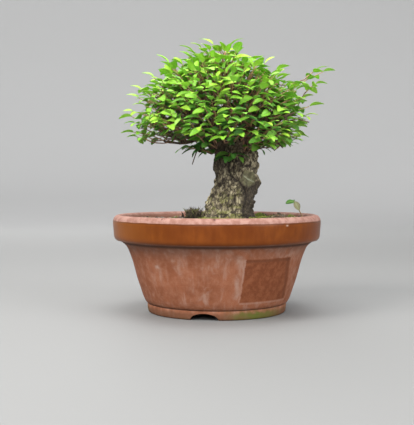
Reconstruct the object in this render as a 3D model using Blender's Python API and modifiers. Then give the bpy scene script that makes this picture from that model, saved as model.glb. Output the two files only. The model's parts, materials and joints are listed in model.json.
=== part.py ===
"""Zelkova bonsai in a round clay pot.

A short corky trunk splits into two stems and a fan of boughs, whose leafy shoots close up to a dome. It stands
in a shallow wheel-thrown pot with a glazed rim band. Units are metres, +Z is up, the pot's foot stands on z = 0
and the front of the tree is -Y. All shapes are placed round the pot's axis, and an empty moves the whole to its
origin.
"""
import math
import random

import bmesh
import bpy
from mathutils import Matrix, Vector, noise
from mathutils.bvhtree import BVHTree

MM = 0.001
GAP = 0.3 * MM  # clearance between pieces that touch

# Pot: radius and height of each point, in millimetres, from the lip's crest down the outer side, round the
# foot, along the underside to the drain hole, and up the inner side again
POT_LIP = [(85.4, 83.8), (88.6, 82.4), (90.0, 78.4)]
POT_BAND = [(89.2, 66.0), (88.0, 63.2), (85.6, 62.0)]
POT_BODY = [(81.6, 60.0), (77.8, 56.2), (73.8, 46.0), (69.1, 29.0), (63.9, 13.5), (61.2, 8.8)]
POT_FOOT = [(60.1, 8.0), (60.5, 7.2), (59.5, 0.0), (53.0, 0.0), (51.6, 6.5)]
POT_INSIDE = [(57.0, 12.0), (71.0, 54.0), (79.6, 70.0), (81.4, 80.6)]
DRAIN_RADIUS = 10.0 * MM
FLOOR_BOTTOM, FLOOR_TOP = 6.5 * MM, 12.0 * MM
POT_STEPS = 32
VENT_WIDTH, VENT_HEIGHT, VENT_COUNT = 24.0 * MM, 5.8 * MM, 3
VENT_TURN = math.radians(-100.6)  # the vent beside the front middle
VENT_INNER, VENT_OUTER, VENT_SIDES = 46.0 * MM, 66.0 * MM, 12  # the radii between which the ring is cut
SMOOTH_ANGLE = math.radians(38)

# Net over the drain hole and the wire that holds it
NET_SIDE, NET_THICK, NET_CELLS = 28.0 * MM, 0.8 * MM, 5
WIRE_RADIUS, WIRE_TOE, WIRE_BEND = 0.6 * MM, 9.0 * MM, 1.3 * MM

# Soil
SOIL_EDGE, SOIL_MOUND, SOIL_MOUND_WIDTH = 77.0 * MM, 3.6 * MM, 44.0 * MM
SOIL_SIDES = 24
SOIL_CENTRE = 10.0 * MM  # x of the mound's middle
SOIL_ROUGH = [(11 * MM, 0.9 * MM), (5 * MM, 0.5 * MM)]  # size and height of its bumps
SOIL_RINGS = (0.92, 0.78, 0.58)
DRAIN_RECESS, DRAIN_RECESS_TOP = 22.0 * MM, 16.0 * MM

# Clumps of moss and old roots, each in a shallow seat in the soil: place, half sizes and turn
CLUMPS = {"moss_clump_left": ((-20.5, -9.0), (7.6, 6.0, 5.2), 0.4),
          "moss_clump_right": ((40.5, -13.0), (6.4, 5.0, 3.4), 2.0)}
CLUMP_DEPTH, CLUMP_ROUGH, CLUMP_GRAIN = 1.6 * MM, 0.85, 7.3
SEAT_CUT = 12.0 * MM  # height of the cut above the seat's floor
# Seedling by the rim: the points of its stem in millimetres, and each leaf's root, direction and length
SEEDLING_STEM = [(75.5, -6.0, 70.5), (75.0, -6.0, 79.0), (71.8, -6.2, 86.5), (66.6, -6.4, 95.6)]
SEEDLING_LEAVES = [((66.8, -6.4, 95.3), (-1.0, -0.25, -0.30), 8.0),
                   ((67.8, -6.4, 93.6), (0.9, -0.5, -0.35), 7.5), ((66.6, -6.4, 95.4), (-0.2, 1.0, 0.1), 5.0)]
SEEDLING_RADIUS = 0.55 * MM
SEEDLING_CUT = 16.0 * MM

# Trunk: height, centre x, half width and half depth of its sections, in millimetres
TRUNK = [(50, 9.5, 13, 12), (62, 9.5, 18, 16), (74, 9.5, 22.6, 20), (82, 9.6, 23.2, 20.6),
         (88, 11.0, 21.4, 19), (96, 13.2, 19.9, 18), (104, 15.8, 19.4, 17.2), (110, 17.7, 19.5, 16.2),
         (117, 17.5, 17.4, 14.0), (126, 16.0, 13.0, 8.5), (137, 13.5, 8.0, 6.5), (144, 13.0, 4.0, 4.0)]
LEFT_STEM = [(94, 10.5, 6, 9), (108, 7.6, 7.4, 12.4), (118, 5.4, 6.8, 12.4), (126, 3.9, 7.2, 11.4),
             (131, 4.6, 6.6, 10.2), (140, 4.8, 6.4, 8.2), (149, 2.8, 4.8, 5.6), (157, 0.6, 3.2, 3.6)]
RIGHT_STEM = [(98, 21.0, 9, 12), (112, 23.0, 12.6, 15.6), (122, 23.0, 12.2, 14.4), (132, 23.6, 12.4, 12.8),
              (140, 24.4, 10.8, 11), (147, 25.2, 8.0, 8.6), (154, 26.6, 4.2, 4.8)]
TRUNK_SIDES, LEFT_SIDES, RIGHT_SIDES = 18, 11, 12
BARK_SEED_TRUNK, BARK_SEED_LEFT, BARK_SEED_RIGHT = 3.1, 17.4, 29.8

# Boughs: the points that each follows from its stem, in millimetres, and its radius at both ends
BOUGHS = [
    ([(1, 0, 150), (0, 1, 168), (-2, 3, 188), (-1, 3, 208)], (3.6, 1.0)),
    ([(2, -1, 139), (-14, -3, 151), (-31, -6, 160), (-50, -8, 166)], (3.8, 0.9)),
    ([(3, 2, 143), (-12, 14, 156), (-28, 27, 166), (-42, 36, 172)], (3.0, 0.9)),
    ([(4, -4, 144), (-6, -18, 155), (-18, -34, 164), (-27, -48, 168)], (3.0, 0.9)),
    ([(0, 0, 157), (-14, -4, 172), (-29, -6, 187), (-40, -4, 198)], (2.8, 0.9)),
    ([(23, -6, 144), (21, -22, 155), (19, -40, 163), (16, -55, 167)], (3.3, 0.9)),
    ([(28, -3, 146), (41, -14, 156), (54, -27, 164), (62, -36, 168)], (3.3, 0.9)),
    ([(27, 4, 144), (42, 14, 155), (57, 22, 164), (68, 24, 170)], (3.3, 0.9)),
    ([(22, 7, 145), (17, 24, 156), (12, 43, 164), (9, 57, 168)], (3.3, 0.9)),
    ([(26, 1, 151), (33, 2, 168), (41, 1, 184), (46, 0, 197)], (3.4, 0.9)),
    ([(24, 2, 152), (21, 14, 170), (19, 22, 188), (18, 26, 202)], (2.8, 0.9)),
    ([(25, -1, 152), (20, -14, 169), (14, -22, 187), (10, -25, 201)], (2.8, 0.9)),
]
BARE_TWIGS = [((47, -9, 150), (56, -15, 141)), ((60, -24, 166), (77, -27, 162)),
              ((-24, -12, 158), (-44, -22, 153)), ((-14, -14, 147), (-21, -18, 127))]
BOUGH_STEP, BOUGH_SWAY, SWAY_SIZE, BOUGH_SEED = 19.0 * MM, 7.0 * MM, 14.0 * MM, 7
TWIG_STEP, TWIG_NECK, TWIG_RADIUS, TWIG_END = 22.0 * MM, 3.0 * MM, 0.85 * MM, 0.45 * MM
BARE_RADII = [0.8 * MM, 0.75 * MM, 0.7 * MM, 0.45 * MM]
DETOUR, TURN_BACK = 0.35, 0.8  # how much a shoot minds a long way round, and turning back, to its wood
TWIG_SAG, TWIG_BACK = 0.06, 0.05  # how far a branchlet hangs and how far it leans back, as shares of its reach

# Crown: a dome round its own middle
CROWN_CENTRE, CROWN_RADII = Vector((3, 0, 163)) * MM, Vector((83, 84, 72)) * MM
SHOOT_HEART = Vector((8, 0, 140)) * MM  # shoots point away from here
SHOOT_FLAT, SHOOT_RISE = 0.62, 0.30  # how far shoots lie down from straight outwards, and how they lift first
SHOOT_STEEPEST = 0.85  # the most that a shoot climbs at its end, as a share of its reach to the side
SHOOT_SPACING = 26.5 * MM
# Tips of the shoots that make the crown's outline from the front: x and z, in millimetres, and the shoot's length
OUTLINE_TIPS = [(-85, 171, 40), (-83, 156, 38), (-78, 188, 40), (-65, 209, 40), (-50, 221, 40), (-29, 232, 38),
                (-12, 238, 32), (19, 237, 34), (40, 224, 38), (60, 215, 40), (79, 196, 40), (103, 213, 56),
                (90, 180, 42), (75, 151, 38)]
OUTLINE_SWAY = 9.0 * MM
# Low shoots round the trunk: x, y and z of the tip, in millimetres
LOW_TIPS = [(14, -40, 134), (-34, -24, 141), (46, -44, 143), (-30, 40, 144), (30, 46, 143), (-8, -66, 150),
            (-46, -34, 157), (30, -62, 153), (60, 8, 147), (-54, 22, 156), (6, 66, 154)]
LOW_SHOOT_LENGTH = 30
DOME_CANDIDATES, DOME_SHOOT_LENGTH, MOST_SHOOTS = 130, 38, 50
DOME_LOWEST = -0.24  # how far under its centre the dome reaches, as a share of its height

# Leaves
LEAF_LENGTH, LEAF_ASPECT, LEAF_THICK = 15.5 * MM, 0.28, 0.68 * MM
LEAF_SPACING = 6.3 * MM
RIB_HALF_WIDTH, RIB_CLEAR = 0.5 * MM, 0.35 * MM
LEAF_LEAN = 0.85  # how far the leaves' upper sides turn outwards from straight up
LEAF_SQUARE = 0.5  # and how far they turn square to their shoot
LEAF_ARCH = 0.30
LEAF_DROOP, LEAF_FOLD, LEAF_SPREAD = (0.42, 0.72), (0.10, 0.32), (48, 68)
# One side of a leaf, from its root to its tip: share of the length and of the half width; two teeth point forward
LEAF_SIDE = [(0.30, 1.0), (0.41, 0.80), (0.63, 0.84), (0.70, 0.56)]
MIDRIB = 0.46
SHOOT_SEED, LEAF_TRIES, TWIG_TRIES = 41, 12, 30
SWAY, SWAY_MORE = 0.12, 0.015  # how far a shoot swings off its course, at first and with each try
CLEARANCE = 0.45 * MM


def clear_scene():
    for item in list(bpy.data.objects):
        bpy.data.objects.remove(item, do_unlink=True)


def collection(name):
    made = bpy.data.collections.new(name)
    bpy.context.scene.collection.children.link(made)
    return made


def material(name, colour, roughness):
    made = bpy.data.materials.new(name)
    made.use_nodes = True
    shader = made.node_tree.nodes["Principled BSDF"]
    shader.inputs["Base Color"].default_value = (*colour, 1.0)
    shader.inputs["Roughness"].default_value = roughness
    shader.inputs["Metallic"].default_value = 0.0
    made.diffuse_color = (*colour, 1.0)
    return made


def new_object(name, mesh, group, finish=None):
    made = bpy.data.objects.new(name, mesh)
    group.objects.link(made)
    if finish:
        mesh.materials.append(finish)
    return made


def mesh_from(name, points, faces):
    mesh = bpy.data.meshes.new(name)
    mesh.from_pydata([tuple(point) for point in points], [], faces)
    tidy = bmesh.new()
    tidy.from_mesh(mesh)
    bmesh.ops.recalc_face_normals(tidy, faces=tidy.faces)
    tidy.to_mesh(mesh)
    tidy.free()
    return mesh


def loft(sections):
    """Points and triangles of a closed body through rings of equal counts, with a point amid each end."""
    sides = len(sections[0])
    points = [point for ring in sections for point in ring]
    faces = []
    for level in range(len(sections) - 1):
        for i in range(sides):
            a, b = level * sides + i, level * sides + (i + 1) % sides
            faces += [(a, b, b + sides), (a, b + sides, a + sides)]
    for ring, start, turn in ((sections[0], 0, 1), (sections[-1], (len(sections) - 1) * sides, -1)):
        middle = sum(ring, Vector()) / sides
        points.append(middle)
        for i in range(sides):
            corners = (start + (i + 1) % sides, start + i, len(points) - 1)
            faces.append(corners[::turn])
    return points, faces


def tube(points, radii, sides, name="tube"):
    """A mesh along a curve with a point for each radius, with its caps welded."""
    curve = bpy.data.curves.new(name, "CURVE")
    curve.dimensions, curve.fill_mode, curve.use_fill_caps = "3D", "FULL", True
    curve.bevel_depth, curve.bevel_resolution = 1.0, (sides - 4) // 2
    line = curve.splines.new("POLY")
    line.points.add(len(points) - 1)
    for spot, point, radius in zip(line.points, points, radii):
        spot.co, spot.radius = (*point, 1.0), radius
    guide = bpy.data.objects.new(name, curve)
    bpy.context.scene.collection.objects.link(guide)
    bpy.context.view_layer.update()
    mesh = bpy.data.meshes.new_from_object(guide.evaluated_get(bpy.context.evaluated_depsgraph_get()))
    bpy.data.objects.remove(guide, do_unlink=True)
    weld = bmesh.new()
    weld.from_mesh(mesh)
    bmesh.ops.remove_doubles(weld, verts=weld.verts, dist=0.01 * MM)
    bmesh.ops.triangulate(weld, faces=weld.faces)
    bmesh.ops.recalc_face_normals(weld, faces=weld.faces)
    weld.to_mesh(mesh)
    weld.free()
    return mesh


def apply_modifiers(target):
    bpy.context.view_layer.update()
    shaped = bpy.data.meshes.new_from_object(target.evaluated_get(bpy.context.evaluated_depsgraph_get()))
    target.modifiers.clear()
    target.data = shaped


def fused(name, meshes, group, finish):
    """One object from meshes that run into each other: the first is joined with a collection of the others."""
    whole = new_object(name, meshes[0], group)
    others = collection(name + "_pieces")
    pieces = [new_object(f"{name}_piece", mesh, others) for mesh in meshes[1:]]
    join = whole.modifiers.new("Join", "BOOLEAN")
    join.operation, join.operand_type, join.collection, join.solver = "UNION", "COLLECTION", others, "MANIFOLD"
    apply_modifiers(whole)
    for piece in pieces:
        bpy.data.objects.remove(piece, do_unlink=True)
    bpy.data.collections.remove(others)
    whole.data.materials.clear()
    whole.data.materials.append(finish)
    return whole


def cut(target, cutter, cutters):
    """Take a closed mesh out of an object, with the cutter kept hidden beside it."""
    tool = new_object(f"{target.name}_cutter", cutter, cutters)
    tool.hide_render, tool.display_type = True, "WIRE"
    slot = target.modifiers.new("Cut", "BOOLEAN")
    slot.operation, slot.object, slot.solver = "DIFFERENCE", tool, "EXACT"
    return tool


def ellipse(centre, half_width, half_depth, sides, height, swell=None):
    ring = []
    for i in range(sides):
        turn = math.tau * i / sides
        grow = swell(turn, height) if swell else 1.0
        x, y = half_width * grow * math.cos(turn), half_depth * grow * math.sin(turn)
        ring.append(Vector((centre + x, y, height)))
    return ring


# Pot

def pot_profile():
    rows = POT_LIP + POT_BAND + POT_BODY + POT_FOOT
    drain = DRAIN_RADIUS / MM
    return rows + [(drain, FLOOR_BOTTOM / MM), (drain, FLOOR_TOP / MM)] + POT_INSIDE


def make_pot(group, cutters, finish):
    rows = pot_profile()
    mesh = bpy.data.meshes.new("pot")
    edges = [(i, (i + 1) % len(rows)) for i in range(len(rows))]
    mesh.from_pydata([(r * MM, 0, z * MM) for r, z in rows], edges, [])
    pot = new_object("pot", mesh, group, finish)
    turn = pot.modifiers.new("Turn", "SCREW")
    turn.axis, turn.steps, turn.render_steps = "Z", POT_STEPS, POT_STEPS
    turn.use_merge_vertices, turn.merge_threshold = True, 0.05 * MM
    for i in range(VENT_COUNT):
        cut(pot, vent_cutter(VENT_TURN + math.tau * i / VENT_COUNT), cutters)
    apply_modifiers(pot)
    pot.data.shade_smooth()
    pot.data.set_sharp_from_angle(angle=SMOOTH_ANGLE)
    return pot


def vent_cutter(turn):
    """A lying half-round bar through the foot ring."""
    turns = [math.tau * i / VENT_SIDES for i in range(VENT_SIDES)]
    rings = []
    for reach in (VENT_INNER, VENT_OUTER):
        ring = [Vector((reach, VENT_WIDTH / 2 * math.cos(t), VENT_HEIGHT * math.sin(t))) for t in turns]
        rings.append([Matrix.Rotation(turn, 3, "Z") @ point for point in ring])
    return mesh_from("vent", *loft(rings))


def make_drain_net(group, finish):
    """A flat grid with every other cell open, thickened upwards."""
    grid = bmesh.new()
    bmesh.ops.create_grid(grid, x_segments=NET_CELLS, y_segments=NET_CELLS, size=NET_SIDE / 2)
    cell = NET_SIDE / NET_CELLS
    open_cells = [face for face in grid.faces if all(
        int(math.floor((axis + NET_SIDE / 2) / cell)) % 2 == 1 for axis in face.calc_center_median()[:2])]
    bmesh.ops.delete(grid, geom=open_cells, context="FACES")
    mesh = bpy.data.meshes.new("drain_net")
    grid.to_mesh(mesh)
    grid.free()
    net = new_object("drain_net", mesh, group, finish)
    net.location.z = FLOOR_TOP + GAP
    thick = net.modifiers.new("Thickness", "SOLIDIFY")
    thick.thickness, thick.offset = NET_THICK, 1.0
    return net


def make_net_wire(group, finish):
    """A staple: its back lies on the net, its legs go down the drain hole and bend outwards below the floor."""
    back = FLOOR_TOP + GAP + NET_THICK + GAP + WIRE_RADIUS
    toe = FLOOR_BOTTOM - GAP - WIRE_RADIUS
    half = math.sqrt(2) * NET_SIDE / NET_CELLS  # the legs pass the net through two opposite open cells
    side = [(half + WIRE_TOE, toe), (half + WIRE_BEND, toe), (half, toe + WIRE_BEND), (half, back - WIRE_BEND),
            (half - WIRE_BEND, back)]
    line = [Vector((x, 0, z)) for x, z in side] + [Vector((-x, 0, z)) for x, z in reversed(side)]
    wire = new_object("net_wire", tube(line, [WIRE_RADIUS] * len(line), 6), group, finish)
    wire.rotation_euler.z = math.radians(45)
    return wire


# Soil

def soil_height(x, y):
    """Height of the soil's surface: a mound round the trunk, with granules and hollows."""
    near = math.exp(-((x - SOIL_CENTRE) ** 2 + y ** 2) / SOIL_MOUND_WIDTH ** 2)
    rough = sum(noise.noise(Vector((x, y, 0)) / size) * height for size, height in SOIL_ROUGH)
    return SOIL_EDGE + SOIL_MOUND * near + rough


def inner_radius(height):
    """The pot's inner radius at a height."""
    rows = [(r * MM, z * MM) for r, z in POT_INSIDE]
    for (r0, z0), (r1, z1) in zip(rows, rows[1:]):
        if z0 <= height <= z1:
            return r0 + (r1 - r0) * (height - z0) / (z1 - z0)
    return rows[0][0]


def make_soil(group, cutters, finish):
    facet = math.cos(math.pi / POT_STEPS)  # the pot's wall runs in chords
    bottom = FLOOR_TOP + GAP

    def ring(radius, height=None):
        turns = [math.tau * i / SOIL_SIDES for i in range(SOIL_SIDES)]
        spots = [(radius * math.cos(turn), radius * math.sin(turn)) for turn in turns]
        return [Vector((x, y, soil_height(x, y) if height is None else height)) for x, y in spots]

    wall = [z * MM for _, z in POT_INSIDE[1:3]]
    sections = [ring(DRAIN_RECESS, DRAIN_RECESS_TOP), ring(DRAIN_RECESS, bottom)]
    sections += [ring(inner_radius(height + GAP) * facet - 2 * GAP, height) for height in [bottom] + wall]
    edge = inner_radius(SOIL_EDGE - 2 * MM) * facet - 2 * GAP
    sections += [ring(edge)] + [ring(edge * share) for share in SOIL_RINGS]
    soil = new_object("soil", mesh_from("soil", *loft(sections)), group, finish)
    hole = [ellipse(x * MM, wide * MM + 2 * GAP, deep * MM + 2 * GAP, TRUNK_SIDES, z * MM, trunk_swell)
            for z, x, wide, deep in TRUNK[:5]]
    hole[0] = [point - Vector((0, 0, 2 * GAP)) for point in hole[0]]
    cut(soil, mesh_from("hole", *loft(hole)), cutters)
    for (x, y), (wide, deep, _), _ in CLUMPS.values():
        seat = clump_seat(x * MM, y * MM)
        cut(soil, post(x * MM, y * MM, wide * MM + 2 * GAP, deep * MM + 2 * GAP, seat, seat + SEAT_CUT), cutters)
    x, y, z = (value * MM for value in SEEDLING_STEM[0])
    width = SEEDLING_RADIUS + 2 * GAP
    cut(soil, post(x, y, width, width, z - GAP, z + SEEDLING_CUT, 8), cutters)
    return soil


def clump_seat(x, y):
    return soil_height(x, y) - CLUMP_DEPTH


def post(x, y, half_width, half_depth, low, high, sides=12):
    def ring(z):
        return [point + Vector((0, y, 0)) for point in ellipse(x, half_width, half_depth, sides, z)]

    return mesh_from("post", *loft([ring(low), ring(high)]))


def make_clump(name, place, sizes, turn, group, finish):
    """A ragged dome of dead roots and moss, flat underneath, on the floor of its seat."""
    x, y = (value * MM for value in place)
    dome = bmesh.new()
    bmesh.ops.create_icosphere(dome, subdivisions=2, radius=1.0)
    for vert in dome.verts:
        rough = 1 + CLUMP_ROUGH * noise.noise(vert.co * CLUMP_GRAIN + Vector((turn * 9, 0, 0)))
        level = max(vert.co.z * rough, 0.0) * 1.5
        spread = min(1.0, 0.96 * (rough if level > 0 else 1.0))
        vert.co = Vector((vert.co.x * spread * sizes[0], vert.co.y * spread * sizes[1], level * sizes[2])) * MM
    bmesh.ops.remove_doubles(dome, verts=dome.verts, dist=0.05 * MM)
    bmesh.ops.recalc_face_normals(dome, faces=dome.faces)
    mesh = bpy.data.meshes.new(name)
    dome.to_mesh(mesh)
    dome.free()
    clump = new_object(name, mesh, group, finish)
    clump.location = (x, y, clump_seat(x, y) + GAP)
    return clump


def make_seedling(group, finish):
    stem = [Vector(point) * MM for point in SEEDLING_STEM]
    radii = [SEEDLING_RADIUS * share for share in (1.0, 1.0, 0.9, 0.8)]
    meshes = [tube(stem, radii, 4)]
    for root, along, length in SEEDLING_LEAVES:
        frame = leaf_frame(Vector(root) * MM, Vector(along), Vector((0, -0.5, 1)), 0.0)
        points, faces = solid_leaf(length * MM)
        meshes.append(mesh_from("leaf", [frame @ point for point in points], faces))
    return fused("seedling", meshes, group, finish)


def solid_leaf(length):
    """A plain oval leaf, thick enough to stand alone, whose root reaches a little behind its start."""
    half, lift = length * 0.30, Vector((0, 0, LEAF_THICK / 2))
    outline = [(-0.04, -0.1), (0.25, -0.8), (0.55, -1.0), (0.85, -0.55), (1.0, 0.0),
               (0.85, 0.55), (0.55, 1.0), (0.25, 0.8), (-0.04, 0.1)]
    rim = [Vector((x * length, y * half, 0.12 * length * math.sin(2.6 * x))) for x, y in outline]
    rim.append(Vector((0.5 * length, 0, 0.12 * length * math.sin(1.3) - 0.05 * length)))
    return doubled(rim, lift)


# Wood

def bark_swell(seed):
    """Ribs, hollows and knobs of corky bark, as a share of the radius at a turn and height."""
    def swell(turn, height):
        z = height / MM
        ribs = 0.045 * math.cos(3 * turn + z / 8 + seed) + 0.035 * math.cos(5 * turn - z / 6 + 2 * seed)
        knobs = 0.15 * noise.noise(Vector((2.2 * math.cos(turn), 2.2 * math.sin(turn) + seed, z / 6.5)))
        return 1.0 + ribs + knobs
    return swell


trunk_swell = bark_swell(BARK_SEED_TRUNK)


def stem_sections(rows, sides, swell):
    return [ellipse(x * MM, wide * MM, deep * MM, sides, z * MM, swell) for z, x, wide, deep in rows]


def trunk_meshes():
    parts = [(TRUNK, TRUNK_SIDES, trunk_swell), (LEFT_STEM, LEFT_SIDES, bark_swell(BARK_SEED_LEFT)),
             (RIGHT_STEM, RIGHT_SIDES, bark_swell(BARK_SEED_RIGHT))]
    return [mesh_from("trunk", *loft(stem_sections(*part))) for part in parts]


def smooth_path(points, step):
    """Points about a step apart on a smooth curve through the given ones."""
    ends = [2 * points[0] - points[1]] + points + [2 * points[-1] - points[-2]]
    line = [points[0]]
    for a, b, c, d in zip(ends, ends[1:], ends[2:], ends[3:]):
        count = max(1, round((c - b).length / step))
        for i in range(1, count + 1):
            t = i / count
            line.append(0.5 * (2 * b + (c - a) * t + (2 * a - 5 * b + 4 * c - d) * t * t
                               + (3 * b - a - 3 * c + d) * t ** 3))
    return line


def bough_limbs():
    """The boughs and bare twigs as (points, radii, sides), and the spots that shoots may grow from."""
    noise.seed_set(BOUGH_SEED)
    limbs, spots = [], []
    for path, (thick, thin) in BOUGHS:
        line = smooth_path([Vector(point) * MM for point in path], BOUGH_STEP)
        line = [point + BOUGH_SWAY * math.sqrt(i / len(line)) * noise.noise_vector(point / SWAY_SIZE)
                for i, point in enumerate(line)]
        radii = [MM * (thick + (thin - thick) * (i / (len(line) - 1)) ** 0.8) for i in range(len(line))]
        limbs.append((line, radii, 6))
        run = 0.0
        for i in range(1, len(line)):
            run += (line[i] - line[i - 1]).length
            spots.append((line[i], run, radii[i]))
    for start, end in BARE_TWIGS:
        a, b = Vector(start) * MM, Vector(end) * MM
        near = min((spot[0] for spot in spots), key=lambda point: (point - a).length)
        line = [near, a, (a + b) / 2 + Vector((0, 0, 0.5 * MM)), b]
        limbs.append((line, BARE_RADII, 4))
    return limbs, spots


def limb_to(base, heading, spots):
    """The branchlet that carries a shoot: from the spot that suits it to a straight neck before its base."""
    def cost(spot):
        reach = base - spot[0]
        turn_back = 1.0 - reach.normalized().dot(heading)
        return reach.length * (1 + TURN_BACK * turn_back) + DETOUR * spot[1]

    start, run, thick = min(spots, key=cost)
    reach = base - start
    neck = base - heading * TWIG_NECK
    bend = start.lerp(neck, 0.5) - Vector((0, 0, TWIG_SAG * reach.length)) - heading * TWIG_BACK * reach.length
    line = smooth_path([start, bend, neck] if reach.length > TWIG_STEP else [start, neck], TWIG_STEP) + [base]
    first = min(thick * 0.8, TWIG_RADIUS * 1.5)
    radii = [first + (TWIG_RADIUS - first) * i / (len(line) - 1) for i in range(len(line))]
    new_spots = [(point, run + (point - start).length, radius) for point, radius in zip(line[1:-2], radii[1:-2])]
    return (line, radii, 4), new_spots


def grow_frame(placed):
    """Wood meshes and the path of every shoot's twig, each moved until twig and branchlet stand clear."""
    limbs, spots = bough_limbs()
    wood = trunk_meshes() + [tube(*limb) for limb in limbs]
    for mesh in wood:
        placed.add(*points_and_faces(mesh), "wood")
    tips = shoot_tips()
    paths = {}
    for index in sorted(range(len(tips)), key=lambda i: (tips[i][0] - SHOOT_HEART).length - tips[i][1]):
        tip, length = tips[index]
        rng = random.Random(SHOOT_SEED + index)
        for attempt in range(TWIG_TRIES):
            path, heading = shoot_path(tip, length - 0.4 * MM * attempt, SWAY + SWAY_MORE * attempt, rng)
            limb, new_spots = limb_to(path[0] - heading * GAP, heading, spots)
            line, radii, sides = limb
            twig = tube(path, [TWIG_RADIUS + CLEARANCE] * len(path), 4)
            wide_limb = tube(line, [radius + CLEARANCE for radius in radii], sides)
            if not placed.hits(*points_and_faces(twig)) and not placed.hits(*points_and_faces(wide_limb), "wood"):
                break
        else:
            continue
        mesh = tube(*limb)
        wood.append(mesh)
        placed.add(*points_and_faces(mesh), "wood")
        spots += new_spots
        paths[index] = path
        placed.add(*points_and_faces(twig_mesh(path)), index)
    return wood, paths


def twig_mesh(path):
    radii = [TWIG_RADIUS - (TWIG_RADIUS - TWIG_END) * i / (len(path) - 1) for i in range(len(path))]
    return tube(path, radii, 4)


# Shoots

def shoot_tips():
    """Tip and length of every shoot: the outline's first, then low ones, then an even cover of the dome."""
    tips = []
    for i, (x, z, length) in enumerate(OUTLINE_TIPS):
        tips.append((Vector((x * MM, OUTLINE_SWAY * math.sin(2.4 * i + 1), z * MM)), length * MM))
    tips += [(Vector(tip) * MM, LOW_SHOOT_LENGTH * MM) for tip in LOW_TIPS]
    golden = math.pi * (3 - math.sqrt(5))
    for i in range(DOME_CANDIDATES):
        up = 1 - (1 - DOME_LOWEST) * (i + 0.5) / DOME_CANDIDATES
        flat = math.sqrt(1 - up * up)
        out = Vector((flat * math.cos(golden * i), flat * math.sin(golden * i), up))
        tip = CROWN_CENTRE + Vector(a * b for a, b in zip(out, CROWN_RADII))
        if all((tip - other).length > SHOOT_SPACING for other, _ in tips) and len(tips) < MOST_SHOOTS:
            tips.append((tip, DOME_SHOOT_LENGTH * MM))
    return tips


def shoot_path(tip, length, sway, rng):
    """Points of a shoot's own twig from its base outwards, with a straight neck first, and the neck's heading."""
    out = tip - SHOOT_HEART
    out.z = min(out.z * SHOOT_FLAT, out.xy.length * SHOOT_STEEPEST)
    out.normalize()
    leaf = 0.8 * LEAF_LENGTH
    end = tip - out * leaf
    swing = Vector((rng.uniform(-1, 1), rng.uniform(-1, 1), rng.uniform(-0.3, 0.6))) * sway
    rise = Vector((0, 0, SHOOT_RISE))
    heading = (out + rise + swing).normalized()
    base = end - (out * 0.45 + heading * 0.55) * (length - leaf)
    bend = base + heading * (length - leaf) * 0.5
    neck = base + heading * TWIG_NECK
    return [base] + smooth_path([neck, bend, end], (length - leaf) / 3.5), heading


def leaf_rim(length, droop, fold, half_width, swell=0.0):
    """One leaf's points, in its own frame: the side at -y from root to tip, the tip, the side at +y back to the
    root, and last a point on its midrib. x runs from root to tip, z is its upper side, which arches down."""
    def spot(x, y):
        return Vector((x, y, LEAF_ARCH * x - droop * x * x / length + fold * abs(y)))

    side = [(share * length, wide * half_width + swell) for share, wide in LEAF_SIDE]
    rim = [spot(x, -y) for x, y in side] + [spot(length + swell, 0)] + [spot(x, y) for x, y in reversed(side)]
    return rim + [spot(MIDRIB * length, 0)]


def blade(length, droop, fold):
    """Points and triangles of the space that a leaf needs, a little wider and thicker than the leaf itself."""
    roots = [Vector((0, -RIB_HALF_WIDTH, 0)), Vector((0, RIB_HALF_WIDTH, 0))]
    rim = leaf_rim(length, droop, fold, length * LEAF_ASPECT, CLEARANCE)
    rim = [roots[0]] + rim[:-1] + [roots[1], rim[-1]]
    return doubled(rim, Vector((0, 0, LEAF_THICK / 2 + CLEARANCE)))


def doubled(rim, lift):
    """A fan of triangles from the rim's last point, alike on both faces, with a wall round its edge."""
    count = len(rim) - 1
    faces = []
    for i in range(count):
        j = (i + 1) % count
        faces += [(i, j, count), (count + 1 + j, count + 1 + i, 2 * count + 1)]
        faces += [(i, count + 1 + i, j), (j, count + 1 + i, count + 1 + j)]
    return [point + lift for point in rim] + [point - lift for point in rim], faces


def leaf_frame(root, along, above, roll):
    """Matrix that lays a leaf's x along one direction with its upper side towards another."""
    x = along.normalized()
    y = above.cross(x).normalized()
    z = x.cross(y)
    return Matrix.Translation(root) @ Matrix((x, y, z)).transposed().to_4x4() @ Matrix.Rotation(roll, 4, "X")


def along_path(path, at):
    """The point and direction at a distance along a path."""
    for a, b in zip(path, path[1:]):
        step = (b - a).length
        if at <= step or b is path[-1]:
            return a.lerp(b, at / step), (b - a).normalized()
        at -= step


def leaf_places(path, rng):
    """Distance along the shoot, side and size of each leaf: in two ranks by turns, larger in the middle, and one
    at the end."""
    whole = sum((b - a).length for a, b in zip(path, path[1:]))
    count = max(3, int(whole / LEAF_SPACING))
    places = []
    for i in range(count):
        size = 0.68 + 0.42 * math.sin(math.pi * (i + 0.9) / (count + 1.2))
        places.append((whole * (0.10 + 0.82 * i / count), 1 if i % 2 else -1, size * rng.uniform(0.90, 1.10)))
    return places + [(whole, 0, 0.84 * rng.uniform(0.90, 1.10))]


def boxes_apart(a, b):
    return any(a[0][k] > b[1][k] or b[0][k] > a[1][k] for k in range(3))


class Placed:
    """What already stands in the crown, to keep new pieces clear of it."""

    def __init__(self):
        self.items = []

    def add(self, points, faces, owner):
        low = [min(point[k] for point in points) for k in range(3)]
        high = [max(point[k] for point in points) for k in range(3)]
        self.items.append(((low, high), BVHTree.FromPolygons(points, faces), owner))

    def hits(self, points, faces, owner=None):
        low = [min(point[k] for point in points) for k in range(3)]
        high = [max(point[k] for point in points) for k in range(3)]
        tree = BVHTree.FromPolygons(points, faces)
        return any(
            item_owner != owner and not boxes_apart((low, high), box) and tree.overlap(other)
            for box, other, item_owner in self.items)


def points_and_faces(mesh):
    return [vert.co.copy() for vert in mesh.vertices], [tuple(face.vertices) for face in mesh.polygons]


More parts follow.
